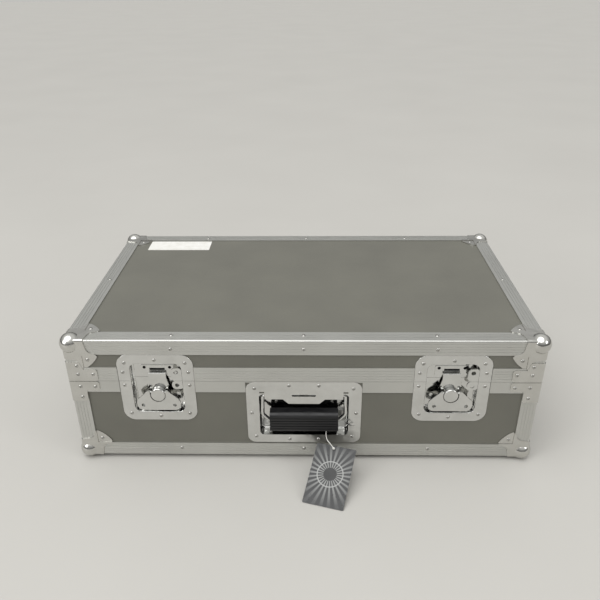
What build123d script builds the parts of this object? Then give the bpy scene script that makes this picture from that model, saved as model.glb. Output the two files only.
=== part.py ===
from build123d import *
import os
from math import cos, radians, sin, tan

# Guitar pedal case: a shallow laminated box with aluminium edge rails, a hinged lid, two recessed
# twist latches, a recessed sprung handle and a card tag on a string.
# Millimetres. +X is to the right of someone facing the front, +Y to the back, +Z up.
# The origin is on the floor, under the middle of the case.

os.makedirs("parts", exist_ok=True)

# ---------------------------------------------------------------- driving dimensions

# Case body, measured over the edge rails
case_width = 660.0
case_depth = 378.0
base_height = 133.4            # underside of the bottom rails to the seam
lid_height = 66.6              # seam to the top of the top rails
seam_gap = 0.3                 # between base and lid when closed
panel_thickness = 9.0          # laminated plywood
soft_clearance = 0.3           # round each foam piece
cutout_clearance = 0.5         # round a dish in its panel cut-out
trim_gap = 0.3                 # between a flange and the rail cut away for it

# Aluminium edge rails
rail_wall = 1.6
rail_leg = 23.0
rail_edge_radius = 2.5
groove_start = 5.0             # first lengthwise groove, from the outer edge
groove_pitch = 4.2
groove_width = 1.0
groove_depth = 0.4

# Tongue and groove rails along the seam
lid_closure_leg = 22.7
base_closure_leg = 18.7
lid_foot = 6.0                 # thickness of the lid rail's foot, which holds the groove
base_foot = 3.0
inner_leg_height = 14.0        # both inner legs, from the seam
tongue_inset = 4.6             # outer face of the rail to the tongue
tongue_width = 3.0
tongue_height = 3.5
tongue_chamfer = 0.8
tongue_end_gap = 1.0           # short of each rail end
groove_side_clearance = 1.0
groove_roof_clearance = 1.0

# Pressed steel trim
plate_thickness = 1.2
ball_radius = 14.5
ball_inset = 8.5               # ball centre from each of the three faces
petal_joggle = 1.5             # how far past the rail the petal stays high
petal_neck = 29.0              # where a petal's side leaves the case edge
petal_neck_end = (31.0, 11.0)  # points of a petal's side: along one edge, in from the other
petal_flare_bow = (34.5, 18.7)
petal_flare_end = (42.0, 21.5)
petal_cheek_bow = (45.0, 24.4)
petal_lobe_start = (44.5, 28.5)
petal_lobe_middle = (37.4, 37.4)
brace_reach = 42.0             # along the seam, from the corner
brace_corner_radius = 4.0
lid_brace_rise = 31.6          # up the corner rail, from the seam
base_brace_drop = 33.8
brace_seam_margin = 0.4
brace_band = 20.0              # height of the leg along the seam

# Rivets
rivet_head_radius = 2.6
rivet_head_height = 1.3
rivet_rim = 0.3                  # straight edge under the dome
rivet_dimple_radius = 0.9
rivet_dimple_depth = 0.7
rail_rivet_spacing = 182.0
rail_rivet_inset = 13.8        # from the outer edge of the rail
petal_rivet_inset = 31.5
rivet_shoulder = (0.72, 0.7)     # a point of the dome, as shares of its radius and height
brace_rivet_inset = 15.0         # from the case corner
brace_rivet_margin = 6.0         # from the end of the brace's band
lid_brace_rivets = (11.8, 12.0, 25.6)      # heights from the seam: near, across, far
base_brace_rivets = (-8.9, -8.9, -26.8)
latch_top_rivet_drop = 4.7       # outer rivets of the top row, below its middle one
latch_low_rivet_rise = 4.8       # outer rivets of the low row, above its middle one
latch_low_rivet_shift = 1.5      # the low row sits nearer the flange's edge
latch_side_rivets = (14.6, -7.4) # heights from the seam, lid and base
latch_side_margin = 7.3          # from the flange's side edge
latch_corner_margin = 11.0
handle_rivet_mid_x = 21.0
handle_rivet_corner = (12.0, 10.8, 11.0)   # from the flange's side, upper and lower edges
handle_rivet_mid = (5.5, 6.0)              # from the upper and lower edges
handle_rivet_side = 7.0
handle_floor_rivets = ((-40.6, -47.3), (40.6, -47.3))

# Recessed twist latches
latch_side_inset = 123.4          # side face of the case to the middle of a latch
latch_flange_width = 106.5
latch_flange_drop = 68.1       # seam to the lower edge of the flange
latch_flange_radius = 17.0
latch_pan_width = 72.0
latch_pan_drop = 53.4          # seam to the bottom of the pan
latch_pan_rise = 28.6          # seam to the top of the pan
latch_pan_radius = 10.0
latch_pan_depth = 11.3         # rail face to the pan's floor
flange_thickness = 1.2
flange_edge_radius = 0.5
pan_lip_radius = 1.0
pan_floor_radius = 2.5
latch_axis_drop = 22.4         # seam to the barrel's axis
running_clearance = 0.05       # radial, every pin and shaft

# Latch barrel: head, cam, collar, neck and the head riveted over behind the pan
barrel_head_radius = 10.5
barrel_head_reach = 3.1        # proud of the rail face
barrel_head_back = 5.0
barrel_edge_radius = 1.6
cam_radius = 5.0
cam_offset = 3.0               # half of the hook's travel
cam_back = 7.6
collar_radius = 7.0
collar_gap = 0.3
neck_radius = 4.0
rear_head_radius = 6.5
rear_head_thickness = 1.2
rear_head_gap = 0.3

# Latch hook plate
hook_front = 5.4
hook_thickness = 1.8
hook_top_rise = 9.8            # seam to the hook's upper edge
hook_top_width = 24.4
hook_shoulder_width = 30.0
hook_shoulder_drop = 11.2
hook_lower_width = 28.0
hook_lip_height = 1.4
hook_lip_reach = 0.8
hook_corner_radius = 4.0
yoke_clearance = 0.8
yoke_wall = 4.0

# Keeper on the lid half of the pan
keeper_width = 25.0
keeper_rise = 4.3              # seam to the underside of the keeper's bar
keeper_bar_height = 3.8
keeper_bar_front = 8.4
keeper_bar_thickness = 1.5
keeper_plate_width = 47.0
keeper_plate_thickness = 1.0
keeper_plate_height = 17.6
keeper_hole_spacing = 36.0
keeper_hole_radius = 2.3
keeper_hole_rise = 16.4
keeper_slot_width = 21.6
keeper_slot_height = 3.4
keeper_slot_rise = 12.0

# Latch wing
wing_front = 3.1               # proud of the rail face
wing_thickness = 1.8
wing_width = 62.0
wing_top_rise = 4.0            # above the fold axis
wing_bottom_drop = 28.3        # below the fold axis
wing_shoulder_drop = 11.8
wing_ear_width = 29.0
wing_lobe_radius = 9.0
wing_notch_clearance = 0.5
wing_hole_spacing = 45.0
wing_hole_radius = 2.7
wing_hole_drop = 19.8
wing_axis_rise = 3.0           # fold axis above the barrel's axis
wing_axis_depth = 0.8
wing_pin_radius = 1.5
wing_cheek_thickness = 1.6
wing_cheek_radius = 3.0

# Padlock lugs beside each latch
lug_left = 21.0                # from the latch centre to the lug's free edge
lug_front = 0.8
lug_thickness = 1.6
lug_riser_back = 8.0
lid_lug_rise = 20.8
base_lug_drop = 14.0
lug_hole_radius = 3.2
lug_hole_offset = 28.2
lid_lug_hole_rise = 14.0
base_lug_hole_drop = 7.5
lug_corner_radius = 6.0
lug_heel_radius = 4.0

# Recessed handle
handle_flange_width = 164.0
handle_flange_drop = 1.6       # seam to the flange's upper edge
handle_flange_height = 106.8
handle_flange_radius = 12.0
handle_pan_width = 128.0
handle_pan_drop = 22.4         # seam to the top of the pan's opening
handle_pan_height = 72.0
handle_pan_radius = 6.0
handle_pan_depth = 18.0
tab_half_width = 56.0          # the plate left in front of the pivot
tab_drop = 8.6                 # how far the tab comes down over the opening
tab_tongue_drop = 16.2
tab_tongue_half_width = 22.0
tab_slope_half_width = 30.0
tab_slot_width = 34.6
tab_slot_height = 3.4
tab_slot_drop = 0.3            # slot centre below the top of the opening
side_slot_width = 7.0
side_slot_height = 2.4
side_slot_rise = 3.0           # above the top of the opening
bail_radius = 2.75
bail_half_width = 59.5
bail_axis_depth = 6.0
bail_axis_drop = 26.9          # seam to the pivot
bail_corner_radius = 5.0
bail_crank = 9.0               # how far each arm bends in to meet the grip
grip_length = 98.0
grip_height = 33.0
grip_depth = 21.0
grip_reach = 10.0              # proud of the rail face
grip_drop = 66.4               # seam to the grip's centre
grip_corner_radius = 7.0
grip_rib_pitch = 4.5
grip_rib_count = 5
grip_rib_groove = 1.0
bracket_half_width = 48.0
bracket_lug_thickness = 7.0
bracket_lug_drop = 5.0         # below the pivot
bracket_strap = 1.6
bracket_front = 2.2
bracket_back = 12.0
spring_inner_radius = 3.05
spring_wire_radius = 0.45
spring_turns = 14
spring_pitch_share = 2.2         # pitch over the wire's radius
spring_window = 3.0            # between the coil's ends and the bracket's strap

# Hinges on the back
hinge_side_inset = 130.0         # side face of the case to the middle of a hinge
hinge_width = 70.0
hinge_leaf_height = 42.0
hinge_leaf_thickness = 1.8
hinge_axis_reach = 5.2         # behind the back face
knuckle_radius = 4.8
knuckle_count = 5
knuckle_gap = 0.3
hinge_pin_radius = 2.0
hinge_notch_clearance = 0.5
hinge_corner_radius = 4.0
hinge_rivet_spacing = 44.0
hinge_rivet_near = 12.5
hinge_rivet_far = 34.0

# Foam lining
wall_foam = 20.0
floor_foam = 20.0
lid_foam = 20.0
foam_seam_margin = 2.0
foam_pocket_clearance = 1.5

# Bare name plate on the lid
label_width = 110.0
label_height = 38.8
label_thickness = 0.5
label_left_inset = 46.4        # left face of the case to the plate
label_back_inset = 25.6
label_corner_radius = 1.5

# Card tag and its string
tag_width = 58.0
tag_length = 88.0
tag_thickness = 0.8
string_points = (                # across, out from the front face, down from the grip
    (32.0, 5.0, soft_clearance), (31.6, 6.0, 7.5), (33.6, 11.2, 12.3), (37.8, 17.6, 12.7),
)
tag_turn = -15.9               # degrees about +Z
tag_lean = 27.5                # degrees up from the floor
tag_foot_x = 25.8              # middle of the edge that rests on the floor
tag_foot_reach = 95.8          # in front of the case
tag_foot_height = 0.3
tag_corner_radius = 1.5
tag_hole_radius = 1.8
tag_hole_x = -3.3
tag_hole_from_top = 4.5
string_radius = 0.6
knot_radius = 2.4
string_bend_share = 0.45

# ---------------------------------------------------------------- derived places

half_width = case_width / 2
half_depth = case_depth / 2
rail_underside = ball_radius - ball_inset
seam_z = rail_underside + base_height
top_z = seam_z + lid_height
half_gap = seam_gap / 2
wall_total = rail_wall + panel_thickness + rail_wall      # outer skin, panel, inner leg
panel_inner = rail_wall + panel_thickness
latch_x = half_width - latch_side_inset
latch_axis_z = seam_z - latch_axis_drop
wing_axis_z = latch_axis_z + wing_axis_rise
flange_front = rail_wall - flange_thickness               # depth behind the rail face
latch_flange_top = top_z - rail_leg - trim_gap
latch_flange_bottom = seam_z - latch_flange_drop
bail_axis_z = seam_z - bail_axis_drop
grip_z = seam_z - grip_drop
grip_center_depth = grip_depth / 2 - grip_reach
handle_flange_z = seam_z - handle_flange_drop - handle_flange_height / 2
handle_opening_top = seam_z - handle_pan_drop
handle_pan_z = handle_opening_top - handle_pan_height / 2
cut_through = 4 * wall_total                              # long enough to pass any wall

UP = (0, 0, 1)
DOWN = (0, 0, -1)


def save(builder, name):
    """Name a finished piece and write it as its own file."""
    builder.part.label = name
    export_step(builder.part, f"parts/{name}.step")


def front_plane(depth, x=0.0, z=0.0):
    """Sketch plane parallel to the front face: right is +X, up is +Z, and it looks forward."""
    return Plane(origin=(x, -half_depth + depth, z), x_dir=(1, 0, 0), z_dir=(0, -1, 0))


def back_plane(depth, x=0.0, z=0.0):
    """Sketch plane parallel to the back face, looking backward."""
    return Plane(origin=(x, half_depth - depth, z), x_dir=(-1, 0, 0), z_dir=(0, 1, 0))


def side_plane(side, depth, y=0.0, z=0.0):
    """Sketch plane parallel to the left (-1) or right (+1) face, looking outward."""
    return Plane(origin=(side * (half_width - depth), y, z), x_dir=(0, side, 0), z_dir=(side, 0, 0))


def top_plane(depth, x=0.0, y=0.0):
    """Sketch plane parallel to the top, looking up."""
    return Plane(origin=(x, y, top_z - depth), x_dir=(1, 0, 0), z_dir=UP)


def bottom_plane(depth, x=0.0, y=0.0):
    """Sketch plane parallel to the underside, looking down."""
    return Plane(origin=(x, y, rail_underside + depth), x_dir=(-1, 0, 0), z_dir=DOWN)


def rail_plane(origin, inward_a, inward_b):
    """Plane across a rail at its middle: both sketch axes point into the case."""
    return Plane(origin=origin, x_dir=inward_a, z_dir=Vector(*inward_a).cross(Vector(*inward_b)))


def span_box(low, high, mode=Mode.ADD):
    """A box between two opposite corners, in the part being built."""
    middle = tuple((a + b) / 2 for a, b in zip(low, high))
    size = [b - a for a, b in zip(low, high)]
    with Locations(middle):
        Box(*size, mode=mode)


# ---------------------------------------------------------------- rail sections

groove_count = int((rail_leg - groove_start) / groove_pitch)
groove_offsets = [groove_start + index * groove_pitch for index in range(groove_count)]

# Right-angled edge rail: outer corner at the sketch origin, both legs pointing inward
with BuildSketch() as edge_section:
    with BuildLine():
        Polyline(
            (0, 0), (rail_leg, 0), (rail_leg, rail_wall),
            (rail_wall, rail_wall), (rail_wall, rail_leg), (0, rail_leg), close=True,
        )
    make_face()
    fillet(edge_section.vertices().sort_by_distance((0, 0, 0))[0], radius=rail_edge_radius)
    with Locations(*[(offset, 0) for offset in groove_offsets]):
        Rectangle(groove_width, 2 * groove_depth, mode=Mode.SUBTRACT)
    with Locations(*[(0, offset) for offset in groove_offsets]):
        Rectangle(2 * groove_depth, groove_width, mode=Mode.SUBTRACT)

# Lid rail at the seam: sketch x is the depth into the wall, sketch y the height above the seam
channel_near = tongue_inset - groove_side_clearance
channel_far = tongue_inset + tongue_width + groove_side_clearance
channel_roof = tongue_height + groove_roof_clearance
with BuildSketch() as lid_closure_section:
    with BuildLine():
        Polyline(
            (0, half_gap), (0, lid_closure_leg), (rail_wall, lid_closure_leg), (rail_wall, lid_foot),
            (wall_total, lid_foot), (wall_total, half_gap), (channel_far, half_gap),
            (channel_far, channel_roof), (channel_near, channel_roof), (channel_near, half_gap),
            close=True,
        )
    make_face()
    with Locations(*[(0, offset) for offset in groove_offsets]):
        Rectangle(2 * groove_depth, groove_width, mode=Mode.SUBTRACT)

with BuildSketch() as base_closure_section:
    with BuildLine():
        Polyline(
            (0, -half_gap), (0, -base_closure_leg), (rail_wall, -base_closure_leg),
            (rail_wall, -base_foot), (wall_total, -base_foot), (wall_total, -half_gap), close=True,
        )
    make_face()

with BuildSketch() as tongue_section:
    with BuildLine():
        Polyline(
            (tongue_inset, -half_gap), (tongue_inset, tongue_height - tongue_chamfer),
            (tongue_inset + tongue_chamfer, tongue_height),
            (tongue_inset + tongue_width - tongue_chamfer, tongue_height),
            (tongue_inset + tongue_width, tongue_height - tongue_chamfer),
            (tongue_inset + tongue_width, -half_gap), close=True,
        )
    make_face()


def inner_leg_section(foot, sign):
    """The leg behind the panel, from the rail's foot to its end; sign is +1 above the seam."""
    with BuildSketch() as section:
        with Locations(((panel_inner + wall_total) / 2, sign * (foot + inner_leg_height) / 2)):
            Rectangle(rail_wall, inner_leg_height - foot)
    return section.sketch


lid_inner_leg = inner_leg_section(lid_foot, 1)
base_inner_leg = inner_leg_section(base_foot, -1)


def run(plane, section, length):
    """Extrude a rail section both ways from the middle of its run."""
    with BuildSketch(plane) as profile:
        add(section)
    extrude(profile.sketch, amount=length / 2, both=True)


def cut_front_trim(top_edge, bottom_edge, width, x):
    """Clear the rail's outer skin where a flange lies on the panel."""
    low = (x - width / 2 - trim_gap, -half_depth - rail_wall, bottom_edge - trim_gap)
    high = (x + width / 2 + trim_gap, -half_depth + rail_wall, top_edge + trim_gap)
    span_box(low, high, mode=Mode.SUBTRACT)


pan_cut_half = latch_pan_width / 2 + flange_thickness + cutout_clearance
wall_edge = half_depth - wall_total
side_edge = half_width - wall_total

# ---------------------------------------------------------------- edge rails

corner_free_x = case_width - 2 * rail_leg
corner_free_y = case_depth - 2 * rail_leg

with BuildPart() as lid_top_rails_long:
    for side in (-1, 1):
        run(rail_plane((0, side * half_depth, top_z), (0, -side, 0), DOWN), edge_section.sketch,
            corner_free_x)
save(lid_top_rails_long, "lid_top_rails_long")

with BuildPart() as lid_top_rails_short:
    for side in (-1, 1):
        run(rail_plane((side * half_width, 0, top_z), (-side, 0, 0), DOWN), edge_section.sketch,
            corner_free_y)
save(lid_top_rails_short, "lid_top_rails_short")

with BuildPart() as base_bottom_rails_long:
    for side in (-1, 1):
        run(rail_plane((0, side * half_depth, rail_underside), (0, -side, 0), UP),
            edge_section.sketch, corner_free_x)
    flange_foot = seam_z - handle_flange_drop - handle_flange_height
    cut_front_trim(seam_z - handle_flange_drop, flange_foot, handle_flange_width, 0)
save(base_bottom_rails_long, "base_bottom_rails_long")

with BuildPart() as base_bottom_rails_short:
    for side in (-1, 1):
        run(rail_plane((side * half_width, 0, rail_underside), (-side, 0, 0), UP),
            edge_section.sketch, corner_free_y)
save(base_bottom_rails_short, "base_bottom_rails_short")


def corner_posts(low_z, high_z):
    """The four upright rails between a seam rail and the ball corners."""
    for side_x in (-1, 1):
        for side_y in (-1, 1):
            middle = (side_x * half_width, side_y * half_depth, (low_z + high_z) / 2)
            run(rail_plane(middle, (-side_x, 0, 0), (0, -side_y, 0)), edge_section.sketch,
                high_z - low_z)


with BuildPart() as lid_corner_rails:
    corner_posts(seam_z + lid_closure_leg, top_z - rail_leg)
save(lid_corner_rails, "lid_corner_rails")

with BuildPart() as base_corner_rails:
    corner_posts(rail_underside + rail_leg, seam_z - base_closure_leg)
save(base_corner_rails, "base_corner_rails")

# ---------------------------------------------------------------- seam rails

inner_x = case_width - 2 * wall_total
inner_y = case_depth - 2 * wall_total


def seam_plane(face, side):
    """Plane across a seam rail: sketch x points into the wall, sketch y up from the seam."""
    if face == "long":
        return rail_plane((0, side * half_depth, seam_z), (0, -side, 0), UP)
    return rail_plane((side * half_width, 0, seam_z), (-side, 0, 0), UP)


def lid_seam_rail(face, side, length, leg_length):
    run(seam_plane(face, side), lid_closure_section.sketch, length)
    run(seam_plane(face, side), lid_inner_leg, leg_length)


def base_seam_rail(face, side, length, leg_length):
    run(seam_plane(face, side), base_closure_section.sketch, length)
    run(seam_plane(face, side), base_inner_leg, leg_length)
    run(seam_plane(face, side), tongue_section.sketch, length - 2 * tongue_end_gap)


def cut_for_latches(top_edge, bottom_edge):
    """Open a front seam rail for the two latch pans and their flanges."""
    for x in (-latch_x, latch_x):
        low = (x - pan_cut_half, -half_depth - rail_wall, bottom_edge)
        high = (x + pan_cut_half, -half_depth + cut_through, top_edge)
        span_box(low, high, mode=Mode.SUBTRACT)
        cut_front_trim(top_edge, bottom_edge, latch_flange_width, x)


with BuildPart() as lid_closure_rail_front:
    lid_seam_rail("long", -1, case_width, inner_x)
    cut_for_latches(seam_z + rail_leg, seam_z - half_gap)
save(lid_closure_rail_front, "lid_closure_rail_front")

with BuildPart() as lid_closure_rail_back:
    lid_seam_rail("long", 1, case_width, inner_x)
save(lid_closure_rail_back, "lid_closure_rail_back")

with BuildPart() as lid_closure_rails_side:
    for side in (-1, 1):
        lid_seam_rail("short", side, inner_y, inner_y)
save(lid_closure_rails_side, "lid_closure_rails_side")

with BuildPart() as base_closure_rail_front:
    base_seam_rail("long", -1, case_width, inner_x)
    cut_for_latches(seam_z + rail_leg, seam_z - rail_leg)
    cut_front_trim(seam_z - handle_flange_drop, seam_z - rail_leg, handle_flange_width, 0)
save(base_closure_rail_front, "base_closure_rail_front")

with BuildPart() as base_closure_rail_back:
    base_seam_rail("long", 1, case_width, inner_x)
save(base_closure_rail_back, "base_closure_rail_back")

with BuildPart() as base_closure_rails_side:
    for side in (-1, 1):
        base_seam_rail("short", side, inner_y, inner_y)
save(base_closure_rails_side, "base_closure_rails_side")

# ---------------------------------------------------------------- panels

skin_x = half_width - rail_wall
skin_y = half_depth - rail_wall
inner_skin_x = half_width - panel_inner
inner_skin_y = half_depth - panel_inner
lid_wall_low = seam_z + lid_foot
lid_wall_high = top_z - panel_inner
base_wall_low = rail_underside + panel_inner
base_wall_high = seam_z - base_foot


def pan_cutout(width, height, radius, x, z):
    """Cut a rounded opening for a pressed pan through the front panel."""
    grow = flange_thickness + cutout_clearance
    with BuildSketch(front_plane(panel_inner + rail_wall, x, z)) as opening:
        RectangleRounded(width + 2 * grow, height + 2 * grow, radius + grow)
    extrude(opening.sketch, amount=cut_through, mode=Mode.SUBTRACT)


latch_pan_height = latch_pan_rise + latch_pan_drop
latch_pan_z = seam_z + (latch_pan_rise - latch_pan_drop) / 2

with BuildPart() as lid_top_panel:
    span_box((-skin_x, -skin_y, lid_wall_high), (skin_x, skin_y, top_z - rail_wall))
save(lid_top_panel, "lid_top_panel")

with BuildPart() as lid_front_panel:
    span_box((-skin_x, -skin_y, lid_wall_low), (skin_x, -inner_skin_y, lid_wall_high))
    for x in (-latch_x, latch_x):
        pan_cutout(latch_pan_width, latch_pan_height, latch_pan_radius, x, latch_pan_z)
save(lid_front_panel, "lid_front_panel")

with BuildPart() as lid_back_panel:
    span_box((-skin_x, inner_skin_y, lid_wall_low), (skin_x, skin_y, lid_wall_high))
save(lid_back_panel, "lid_back_panel")

with BuildPart() as base_bottom_panel:
    span_box((-skin_x, -skin_y, rail_underside + rail_wall), (skin_x, skin_y, base_wall_low))
save(base_bottom_panel, "base_bottom_panel")

with BuildPart() as base_front_panel:
    span_box((-skin_x, -skin_y, base_wall_low), (skin_x, -inner_skin_y, base_wall_high))
    for x in (-latch_x, latch_x):
        pan_cutout(latch_pan_width, latch_pan_height, latch_pan_radius, x, latch_pan_z)
    pan_cutout(handle_pan_width, handle_pan_height, handle_pan_radius, 0, handle_pan_z)
save(base_front_panel, "base_front_panel")

with BuildPart() as base_back_panel:
    span_box((-skin_x, inner_skin_y, base_wall_low), (skin_x, skin_y, base_wall_high))
save(base_back_panel, "base_back_panel")

for name, side in (("left", -1), ("right", 1)):
    near_x, far_x = sorted((side * inner_skin_x, side * skin_x))
    with BuildPart() as lid_side_panel:
        span_box((near_x, -inner_skin_y, lid_wall_low), (far_x, inner_skin_y, lid_wall_high))
    save(lid_side_panel, f"lid_{name}_panel")
    with BuildPart() as base_side_panel:
        span_box((near_x, -inner_skin_y, base_wall_low), (far_x, inner_skin_y, base_wall_high))
    save(base_side_panel, f"base_{name}_panel")

# ---------------------------------------------------------------- ball corners

wrap_radius = rail_edge_radius + plate_thickness


def petal_outline(to_plane):
    """One face of a ball corner: two necks along the case edges and a lobe on the diagonal.

    to_plane turns a pair of insets from the two case edges into a point of the sketch.
    """

    def half(place):
        Line(place(-plate_thickness, -plate_thickness), place(petal_neck, -plate_thickness))
        Line(place(petal_neck, -plate_thickness), place(*petal_neck_end))
        ThreePointArc(place(*petal_neck_end), place(*petal_flare_bow), place(*petal_flare_end))
        ThreePointArc(place(*petal_flare_end), place(*petal_cheek_bow), place(*petal_lobe_start))

    with BuildLine() as outline:
        half(to_plane)
        half(lambda u, v: to_plane(v, u))
        ThreePointArc(to_plane(*petal_lobe_start), to_plane(*petal_lobe_middle),
                      to_plane(*reversed(petal_lobe_start)))
    make_face(outline.edges())


with BuildPart() as corner_ball:
    with Locations((half_width - ball_inset, -half_depth + ball_inset, top_z - ball_inset)):
        Sphere(ball_radius)
    span_box((half_width - 2 * ball_radius, -half_depth + rail_wall, top_z - 2 * ball_radius),
             (half_width - rail_wall, -half_depth + 2 * ball_radius, top_z - rail_wall),
             mode=Mode.SUBTRACT)

sheet = rail_wall + plate_thickness
with BuildPart() as ball_corner:
    with BuildSketch(front_plane(rail_wall)):
        petal_outline(lambda u, v: (half_width - u, top_z - v))
    extrude(amount=sheet)
    with BuildSketch(side_plane(1, rail_wall)):
        petal_outline(lambda u, v: (-half_depth + u, top_z - v))
    extrude(amount=sheet)
    with BuildSketch(top_plane(rail_wall)):
        petal_outline(lambda u, v: (half_width - u, -half_depth + v))
    extrude(amount=sheet)
    # the three plates meet along the case's own edges, and bend round them there
    plate_edges = 3
    outer = Vector(half_width + plate_thickness, -half_depth - plate_thickness,
                   top_z + plate_thickness)
    fillet(ball_corner.edges().filter_by(GeomType.LINE).sort_by_distance(outer)[0:plate_edges],
           radius=wrap_radius)
    # the three rails that end at this corner, each with a small gap to the lobe beside it
    near_x = half_width - rail_leg
    near_y = -half_depth + rail_leg
    low_z = top_z - rail_leg
    lobe_x = near_x - trim_gap
    lobe_y = near_y + trim_gap
    lobe_z = low_z - trim_gap
    far = petal_cheek_bow[0] + plate_thickness
    for low, high in (
        ((half_width - far, -half_depth, lobe_z), (near_x, -half_depth + rail_wall, top_z)),
        ((half_width - far, -half_depth, top_z - rail_wall), (near_x, lobe_y, top_z)),
        ((half_width - rail_wall, near_y, lobe_z), (half_width, -half_depth + far, top_z)),
        ((lobe_x, near_y, top_z - rail_wall), (half_width, -half_depth + far, top_z)),
        ((lobe_x, -half_depth, top_z - far), (half_width, -half_depth + rail_wall, low_z)),
        ((half_width - rail_wall, -half_depth, top_z - far), (half_width, lobe_y, low_z)),
    ):
        span_box(low, high, mode=Mode.SUBTRACT)
    # the lobes step down onto the panels
    step = rail_leg + petal_joggle
    deep_x = half_width - step
    deep_y = -half_depth + step
    deep_z = top_z - step
    for low, high in (
        ((half_width - far, -half_depth - sheet, top_z - far), (deep_x, -half_depth, deep_z)),
        ((half_width, deep_y, top_z - far), (half_width + sheet, -half_depth + far, deep_z)),
        ((half_width - far, deep_y, top_z), (deep_x, -half_depth + far, top_z + sheet)),
    ):
        span_box(low, high, mode=Mode.SUBTRACT)
    add(corner_ball.part)

middle_z = (rail_underside + top_z) / 2

# On the shallow lid the lower lobes are trimmed to clear the seam rail
with BuildPart() as lid_ball_corners:
    add(ball_corner.part)
    span_box((half_width - far, -half_depth, top_z - far),
             (half_width, -half_depth + far, seam_z + lid_closure_leg + trim_gap),
             mode=Mode.SUBTRACT)
    mirror(about=Plane.XZ)
    mirror(about=Plane.YZ)
save(lid_ball_corners, "lid_ball_corners")

with BuildPart() as base_ball_corners:
    mirror(ball_corner.part, about=Plane.XY.offset(middle_z))
    mirror(about=Plane.XZ)
    mirror(about=Plane.YZ)
save(base_ball_corners, "base_ball_corners")

# ---------------------------------------------------------------- seam braces


def seam_brace(near, band, reach, corner_z):
    """Right front brace: near, band and reach are heights from the seam, signed upward."""
    points = [(-plate_thickness, near), (brace_reach, near), (brace_reach, band),
              (rail_leg, band), (rail_leg, reach), (-plate_thickness, reach)]

    def blank(plane, to_plane):
        with BuildSketch(plane) as face:
            with BuildLine():
                Polyline(*[to_plane(u, v) for u, v in points], close=True)
            make_face()
            ends = [Vector(*to_plane(*points[index])) for index in (1, 2, 4)]
            rounded = [face.vertices().sort_by_distance(end)[0] for end in ends]
            fillet(rounded, radius=brace_corner_radius)
        extrude(face.sketch, amount=plate_thickness)

    with BuildPart() as brace:
        blank(front_plane(0), lambda u, v: (half_width - u, corner_z + v))
        blank(side_plane(1, 0), lambda u, v: (-half_depth + u, corner_z + v))
        outer_line = Vector(half_width + plate_thickness, -half_depth - plate_thickness,
                            corner_z + (near + reach) / 2)
        upright = brace.edges().filter_by(Axis.Z)
        fillet(upright.sort_by_distance(outer_line)[0], radius=wrap_radius)
    return brace.part


def petal_clearance():
    """The ball corner's own outline, grown a little, so that a brace stops short of it."""
    grow = trim_gap
    with BuildPart() as tool:
        with BuildSketch(front_plane(0)):
            with BuildSketch(mode=Mode.PRIVATE) as plain:
                petal_outline(lambda u, v: (half_width - u, top_z - v))
            add(offset(plain.sketch, amount=grow, mode=Mode.PRIVATE))
        extrude(amount=2 * plate_thickness)
        with BuildSketch(side_plane(1, 0)):
            with BuildSketch(mode=Mode.PRIVATE) as plain_side:
                petal_outline(lambda u, v: (-half_depth + u, top_z - v))
            add(offset(plain_side.sketch, amount=grow, mode=Mode.PRIVATE))
        extrude(amount=2 * plate_thickness)
    return tool.part


lid_brace = seam_brace(brace_seam_margin, brace_band, lid_brace_rise, seam_z)
base_brace = seam_brace(-brace_seam_margin, -brace_band + (lid_closure_leg - base_closure_leg),
                        -base_brace_drop, seam_z)

with BuildPart() as lid_corner_braces:
    add(lid_brace)
    add(petal_clearance(), mode=Mode.SUBTRACT)
    mirror(about=Plane.XZ)
    mirror(about=Plane.YZ)
save(lid_corner_braces, "lid_corner_braces")

with BuildPart() as base_corner_braces:
    add(base_brace)
    mirror(about=Plane.XZ)
    mirror(about=Plane.YZ)
save(base_corner_braces, "base_corner_braces")

# ---------------------------------------------------------------- latch pans

pan_wall = flange_thickness
flange_height = latch_flange_top - latch_flange_bottom
flange_z = (latch_flange_top + latch_flange_bottom) / 2


def pressed_pan(x, flange_size, flange_corner, flange_middle, pan_size, pan_corner, pan_middle, depth):
    """A pressed dish: a flange on the panel, side walls and a floor, in the part being built."""
    with BuildSketch(front_plane(rail_wall, x, flange_middle)) as flange:
        RectangleRounded(*flange_size, flange_corner)
    extrude(flange.sketch, amount=flange_thickness)
    with BuildSketch(front_plane(depth + pan_wall, x, pan_middle)) as outside:
        RectangleRounded(pan_size[0] + 2 * pan_wall, pan_size[1] + 2 * pan_wall,
                         pan_corner + pan_wall)
    extrude(outside.sketch, amount=depth + pan_wall - rail_wall)


def pan_cavity(x, pan_size, pan_corner, pan_middle, depth, front):
    """The space inside a dish, up to the given depth in front, with a rounded floor edge."""
    with BuildPart() as cavity:
        with BuildSketch(front_plane(depth, x, pan_middle)):
            RectangleRounded(*pan_size, pan_corner)
        extrude(amount=depth - front)
        fillet(cavity.faces().sort_by(Axis.Y)[-1].edges(), radius=pan_floor_radius)
    return cavity.part


latch_pan_size = (latch_pan_width, latch_pan_height)
keeper_slot_z = seam_z + keeper_slot_rise + keeper_slot_height / 2
keeper_hole_z = seam_z + keeper_hole_rise


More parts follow.
